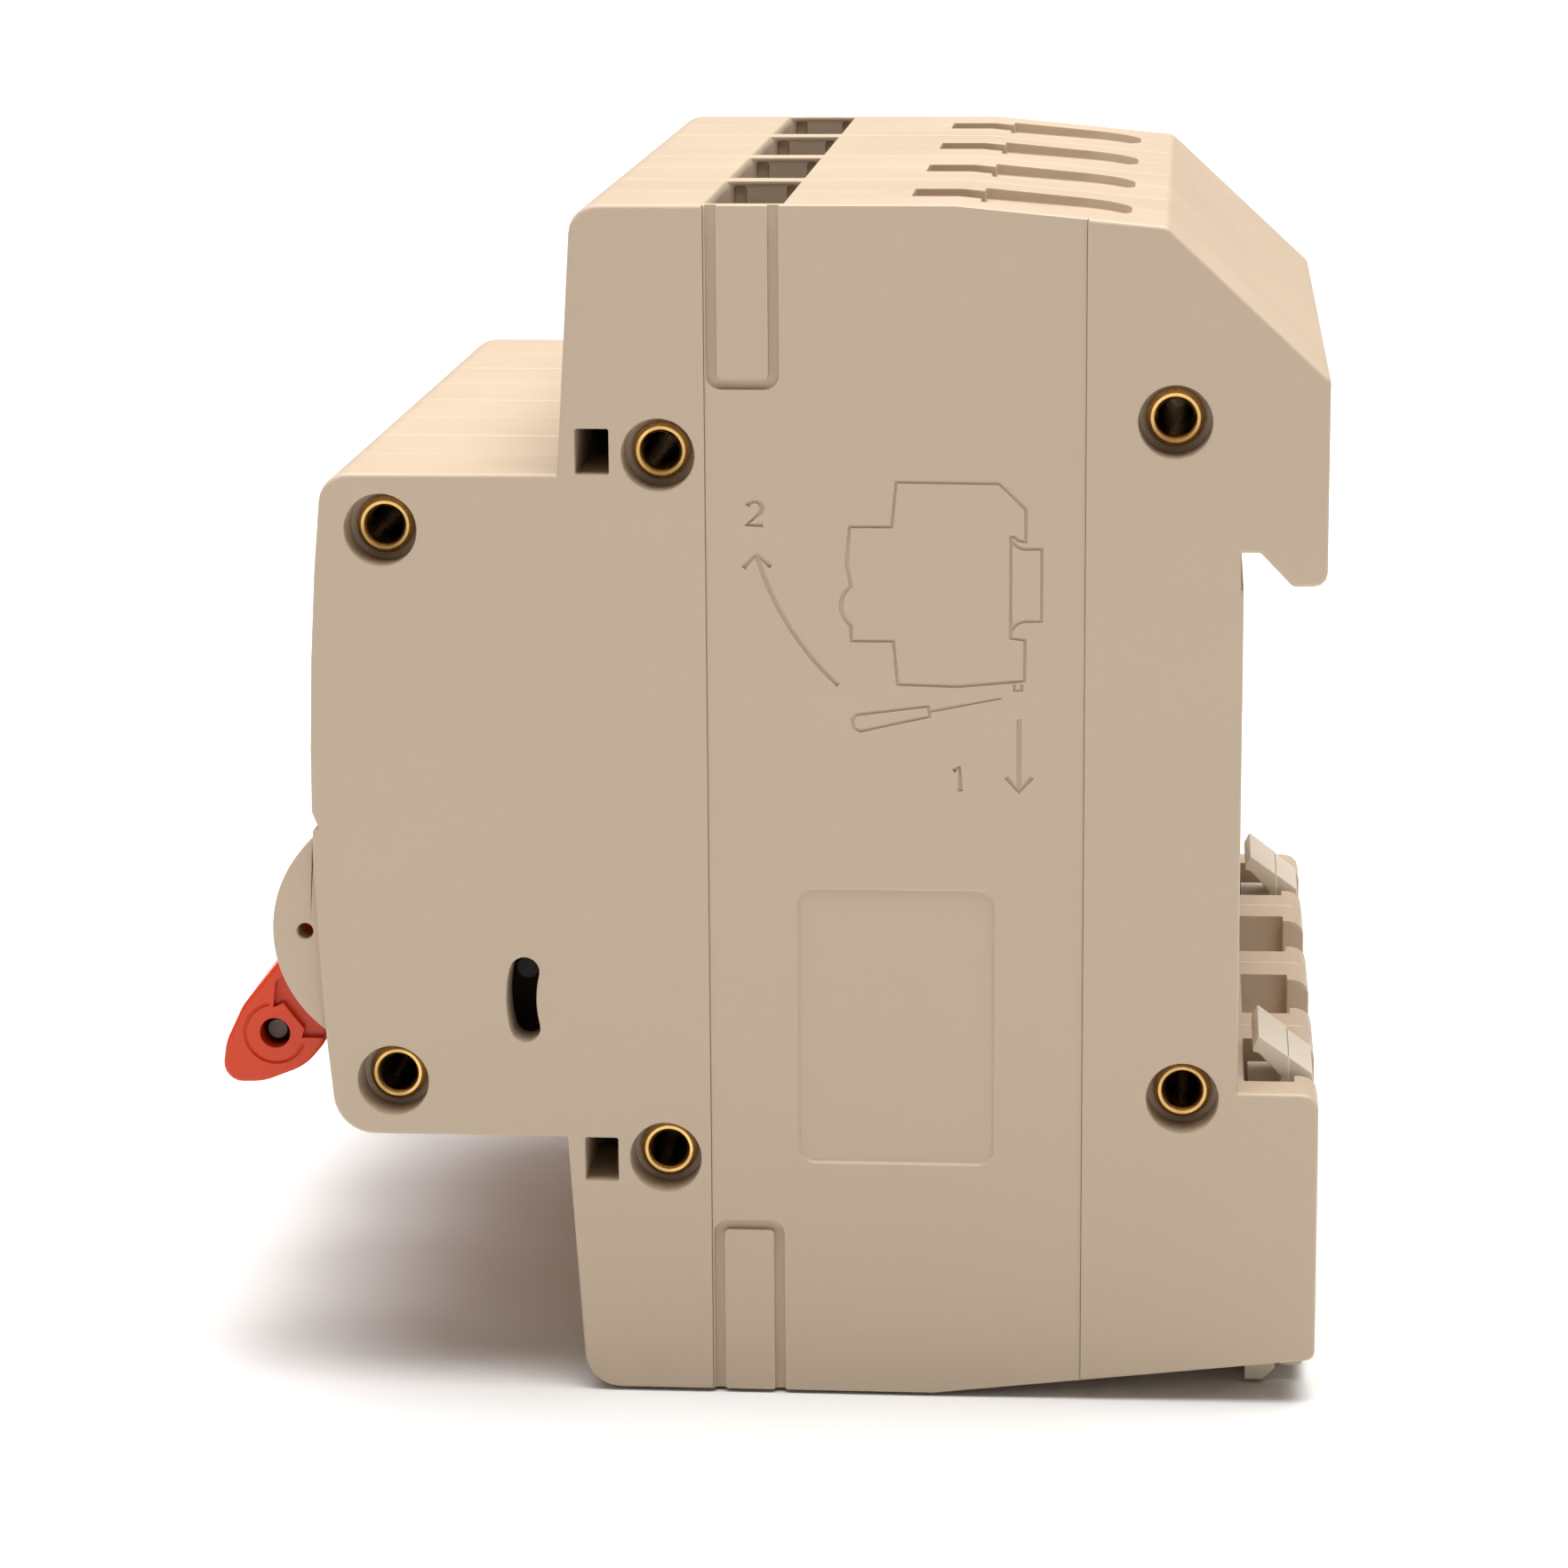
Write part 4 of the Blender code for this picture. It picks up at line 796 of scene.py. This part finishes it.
def make_toggle():
    """A toggle in its OFF position round the pivot: drum, paddle, axle ends and the bore of the tie rod."""
    width = (-TOGGLE_HALF, TOGGLE_HALF)
    paddle = rounded(
        [
            (-7.3, -1.1, 0.0),
            (-11.2, -5.9, 4.0),
            (-12.45, -8.5, 4.0),
            (-12.85, -11.35, 1.3),
            (-9.9, -11.25, 4.0),
            (-7.0, -10.1, 4.0),
            (-5.75, -8.6, 1.0),
            (-4.6, -5.9, 0.0),
        ],
        fineness=5,
    )
    toggle = rod("toggle", (0.0, 0.0), DRUM_RADIUS, *width, 96)
    combine(toggle, "UNION", [prism("paddle", paddle, *width)])
    soften(toggle, 0.3, 3)
    axle = rod("axle", (0.0, 0.0), AXLE_RADIUS, -TOGGLE_HALF - 1.5, TOGGLE_HALF + 1.5, 32)
    combine(toggle, "UNION", [axle])
    relief = [
        (-9.1, -6.0), (-8.4, -5.7), (-7.0, -7.5), (-7.2, -8.1), (-5.7, -8.1),
        (-5.2, -6.3), (-6.4, -5.3), (-8.0, -3.4), (-8.9, -4.2),
    ]
    cutters = [rod("bore", TIE_BORE, TIE_BORE_RADIUS, -TOGGLE_HALF - 2, TOGGLE_HALF + 2, 32)]
    for side in (-1, 1):
        face = side * TOGGLE_HALF
        cutters.append(groove("cut_ring", arc(TIE_BORE, 2.05, 100, 340, 24), face, 0.13))
        cutters.append(prism("cut_relief", relief, *sorted((face - side * 0.55, face + side))))
    return combine(toggle, "DIFFERENCE", cutters).data


def make_rivet():
    """A drawn brass tube with a rolled rim at each end."""
    half = (CAD_HIGH.x - CAD_LOW.x) / 2 / MM
    seat = half - RECESS_DEPTH + 0.08
    rim = [
        (seat, 1.5),
        (seat + 0.02, 1.7),
        (seat + 0.16, RIVET_HEAD),
        (seat + 0.34, RIVET_HEAD + 0.02),
        (seat + 0.52, RIVET_HEAD - 0.08),
        (seat + 0.62, 1.62),
        (seat + 0.6, 1.42),
        (seat + 0.46, 1.27),
        (seat + 0.2, RIVET_BORE),
    ]
    profile = rim + [(-a, r) for a, r in reversed(rim)]
    return lathe("rivet", profile, "X", closed=True).data


def make_screw():
    """A terminal screw round its axis, with its head chamfered and slotted."""
    head_rear = SCREW_HEAD_FRONT + 2.2
    profile = [
        (SCREW_HEAD_FRONT, 0.0),
        (SCREW_HEAD_FRONT, SCREW_HEAD_RADIUS - 0.4),
        (SCREW_HEAD_FRONT + 0.12, SCREW_HEAD_RADIUS - 0.12),
        (SCREW_HEAD_FRONT + 0.4, SCREW_HEAD_RADIUS),
        (head_rear - 0.15, SCREW_HEAD_RADIUS),
        (head_rear, SCREW_HEAD_RADIUS - 0.15),
        (head_rear, SCREW_RADIUS),
    ]
    y = head_rear
    while y + 0.7 < SCREW_TIP:
        profile += [(y + 0.1, SCREW_RADIUS), (y + 0.35, SCREW_RADIUS - 0.3), (y + 0.6, SCREW_RADIUS)]
        y += 0.7
    profile += [(SCREW_TIP, SCREW_RADIUS - 0.35), (SCREW_TIP, 0.0)]
    screw = lathe("screw", profile, "Y", 48)
    deep = SCREW_HEAD_FRONT + 1.2
    slot = box("slot", (-4, 4), (SCREW_HEAD_FRONT - 1, deep), (-0.45, 0.45))
    cross = box("cross", (-0.45, 0.45), (SCREW_HEAD_FRONT - 1, deep), (-1.9, 1.9))
    return combine(screw, "DIFFERENCE", [slot, cross]).data


def make_clip():
    """A rail clip: hooked front plate, narrower back plate and a tail."""
    step, back, face, tip = 3.5, 5.1, 0.8, -15.95
    front_plate = [
        (1.05, tip - 0.8), (1.45, tip), (step, tip - 1.5), (step, -37.2), (step - 0.7, -37.2),
        (step - 0.7, -39.2), (step - 1.5, -40.0), (face, -40.0), (face, tip - 4.2), (step - 0.9, tip - 4.2),
        (step - 0.5, tip - 2.9), (1.45, tip - 1.2), (1.05, tip - 1.1),
    ]
    back_plate = [
        (step - 0.3, tip - 1.35), (back, tip - 2.7), (back, -38.6), (back - 0.6, -39.3), (step - 0.3, -39.3),
    ]
    clip = prism("clip", front_plate, -4.7, 4.7)
    combine(clip, "UNION", [prism("clip_back", back_plate, -3.65, 3.65)])
    for x in (-4.7, 4.7):
        corner = [(x, -3.0), (x, 6.0), (x - math.copysign(1.05, x), 6.0)]
        low, high = [[(px, py, z) for px, py in corner] for z in (tip - 4.0, tip + 1.0)]
        combine(clip, "DIFFERENCE", [mesh_object("cut_taper", lambda bm: skin(bm, [low, high]))])
    return soften(clip, 0.1).data


def make_tie_rod():
    ends = pole_middle(4) + TOGGLE_HALF - 1.1
    half = [(ends - 0.15, 0.8), (ends, 0.65), (ends, 0.0)]
    profile = [(-along, radius) for along, radius in reversed(half)] + half
    return lathe("tie", profile, "X", 32).data


def take(mesh):
    """Removes the working object of a finished mesh, so that only its copies stay."""
    for obj in [o for o in bpy.data.objects if o.type == "MESH" and o.data == mesh]:
        bpy.data.objects.remove(obj)
    return mesh


def build_pieces():
    shells = {}
    for side in (-1, 1):
        for outermost in (False, True):
            shells[side, outermost] = make_shell(side, outermost)
    toggle, rivet = take(make_toggle()), take(make_rivet())
    screw, clip = take(make_screw()), take(make_clip())
    for pole in range(1, 5):
        x = pole_middle(pole)
        for side, word, end_pole in ((-1, "left", 1), (1, "right", 4)):
            mesh = stand(shells[side, pole == end_pole].copy(), x)
            node = f"pole_{pole}_{word}_shell"
            finish_piece(mesh, f"case_{pole}_{word}", CASE, "case", node)
        mesh = stand(toggle.copy(), x, *PIVOT)
        finish_piece(mesh, f"toggle_{pole}", TOGGLE, "toggle_bar", f"pole_{pole}_toggle")
        for end, word in ((1, "line"), (-1, "load")):
            mesh = stand(screw.copy(), x, 0.0, end * TERMINAL_HEIGHT)
            body, node = f"screw_{pole}_{word}", f"pole_{pole}_{word}_screw"
            finish_piece(mesh, f"{body}_head", SCREW_STEEL, body, node)
        if f"pole_{pole}_rail_clip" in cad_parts:
            mesh = stand(clip.copy(), x)
            body, node = f"rail_clip_{pole}", f"pole_{pole}_rail_clip"
            finish_piece(mesh, f"clip_{pole}", CLIP, body, node)
    for name, place in RIVETS.items():
        finish_piece(stand(rivet.copy(), 0.0, *place), f"{name}_tube", BRASS, "case", name)
    place = (PIVOT[0] + TIE_BORE[0], PIVOT[1] + TIE_BORE[1])
    rod_mesh = stand(take(make_tie_rod()), 0.0, *place)
    finish_piece(rod_mesh, "toggle_tie_rod", ROD_STEEL_PAINTED_SHADE, "toggle_bar", "tie_rod")


def finish_cad_nodes():
    """Gives the CAD nodes that stay their procedural materials."""
    finishes = {
        "fixed_contact": COPPER,
        "bimetal_strip": BIMETAL,
        "contact_arm": ARM_COPPER,
        "trip_coil": WINDING,
        "arc_chute": CHUTE,
        "line_cage": CAGE_STEEL,
        "load_cage": CAGE_STEEL,
        "trip_bar": TRIP_DARK_WITH_PAINTED_SHADE,
    }
    for name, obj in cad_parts.items():
        for ending, material in finishes.items():
            if name.endswith(ending):
                for slot in obj.material_slots:
                    slot.material = material


# ---------------------------------------------------------------- stage


def make_camera():
    data = bpy.data.cameras.new("camera")
    data.lens = 112.87
    data.sensor_width = 36.0
    data.clip_start = 0.01
    data.clip_end = 20.0
    camera = bpy.data.objects.new("camera", data)
    bpy.context.scene.collection.objects.link(camera)
    right = Vector((-0.08183, 0.99663, -0.00642))
    up = Vector((-0.21298, -0.01119, 0.97699))
    back = Vector((0.97362, 0.08132, 0.21318))
    place = Vector((350.88, 28.02, 111.19)) * MM
    camera.matrix_world = Matrix.Translation(place) @ Matrix((right, up, back)).transposed().to_4x4()
    bpy.context.scene.camera = camera


def area_light(name, place, target, size, power, colour):
    data = bpy.data.lights.new(name, "AREA")
    data.shape = "DISK"
    data.size = size
    data.energy = power
    data.color = colour
    light = bpy.data.objects.new(name, data)
    bpy.context.scene.collection.objects.link(light)
    light.location = place
    light.rotation_euler = (Vector(target) - Vector(place)).to_track_quat("-Z", "Y").to_euler()


def make_stage():
    corners = ((-4, -4, 0), (4, -4, 0), (4, 4, 0), (-4, 4, 0))
    floor = mesh_object("floor", lambda bm: bm.faces.new([bm.verts.new(p) for p in corners]))
    floor.location.z = -0.0002
    material, tree, shader = shader_of("floor_paper")
    shader.inputs["Roughness"].default_value = 0.9
    shader.inputs["Specular IOR Level"].default_value = 0.1
    paper = noise(tree, 40.0, 3.0)
    shade = ramp(tree, paper, [(0.3, (0.81, 0.81, 0.81)), (0.7, (0.83, 0.83, 0.83))])
    tree.links.new(shade, shader.inputs["Base Color"])
    floor.data.materials.append(material)

    world = bpy.data.worlds.new("studio")
    bpy.context.scene.world = world
    world.use_nodes = True
    tree = world.node_tree
    soft = tree.nodes["Background"]
    soft.inputs["Color"].default_value = (1.0, 0.975, 0.94, 1.0)
    soft.inputs["Strength"].default_value = 0.16
    seen = tree.nodes.new("ShaderNodeBackground")
    seen.inputs["Color"].default_value = (1.0, 1.0, 1.0, 1.0)
    path = tree.nodes.new("ShaderNodeLightPath")
    mix = tree.nodes.new("ShaderNodeMixShader")
    tree.links.new(path.outputs["Is Camera Ray"], mix.inputs["Fac"])
    tree.links.new(soft.outputs["Background"], mix.inputs[1])
    tree.links.new(seen.outputs["Background"], mix.inputs[2])
    tree.links.new(mix.outputs["Shader"], tree.nodes["World Output"].inputs["Surface"])

    data = bpy.data.lights.new("overhead", "SUN")
    data.energy = 4.0
    data.angle = math.radians(70)
    sun = bpy.data.objects.new("overhead", data)
    bpy.context.scene.collection.objects.link(sun)
    sun.rotation_euler = Vector((-0.14, 0.0, 1.0)).to_track_quat("Z", "Y").to_euler()
    middle = (0.0, 0.0, 0.04)
    area_light("key", (0.05, 0.1, 0.75), middle, 0.5, 3.2, (1.0, 0.985, 0.96))
    area_light("front", (0.5, -0.5, 0.35), middle, 0.3, 0.2, (1.0, 0.97, 0.93))
    bpy.context.scene.view_settings.view_transform = "Standard"


make_camera()
make_stage()
build_pieces()
finish_cad_nodes()
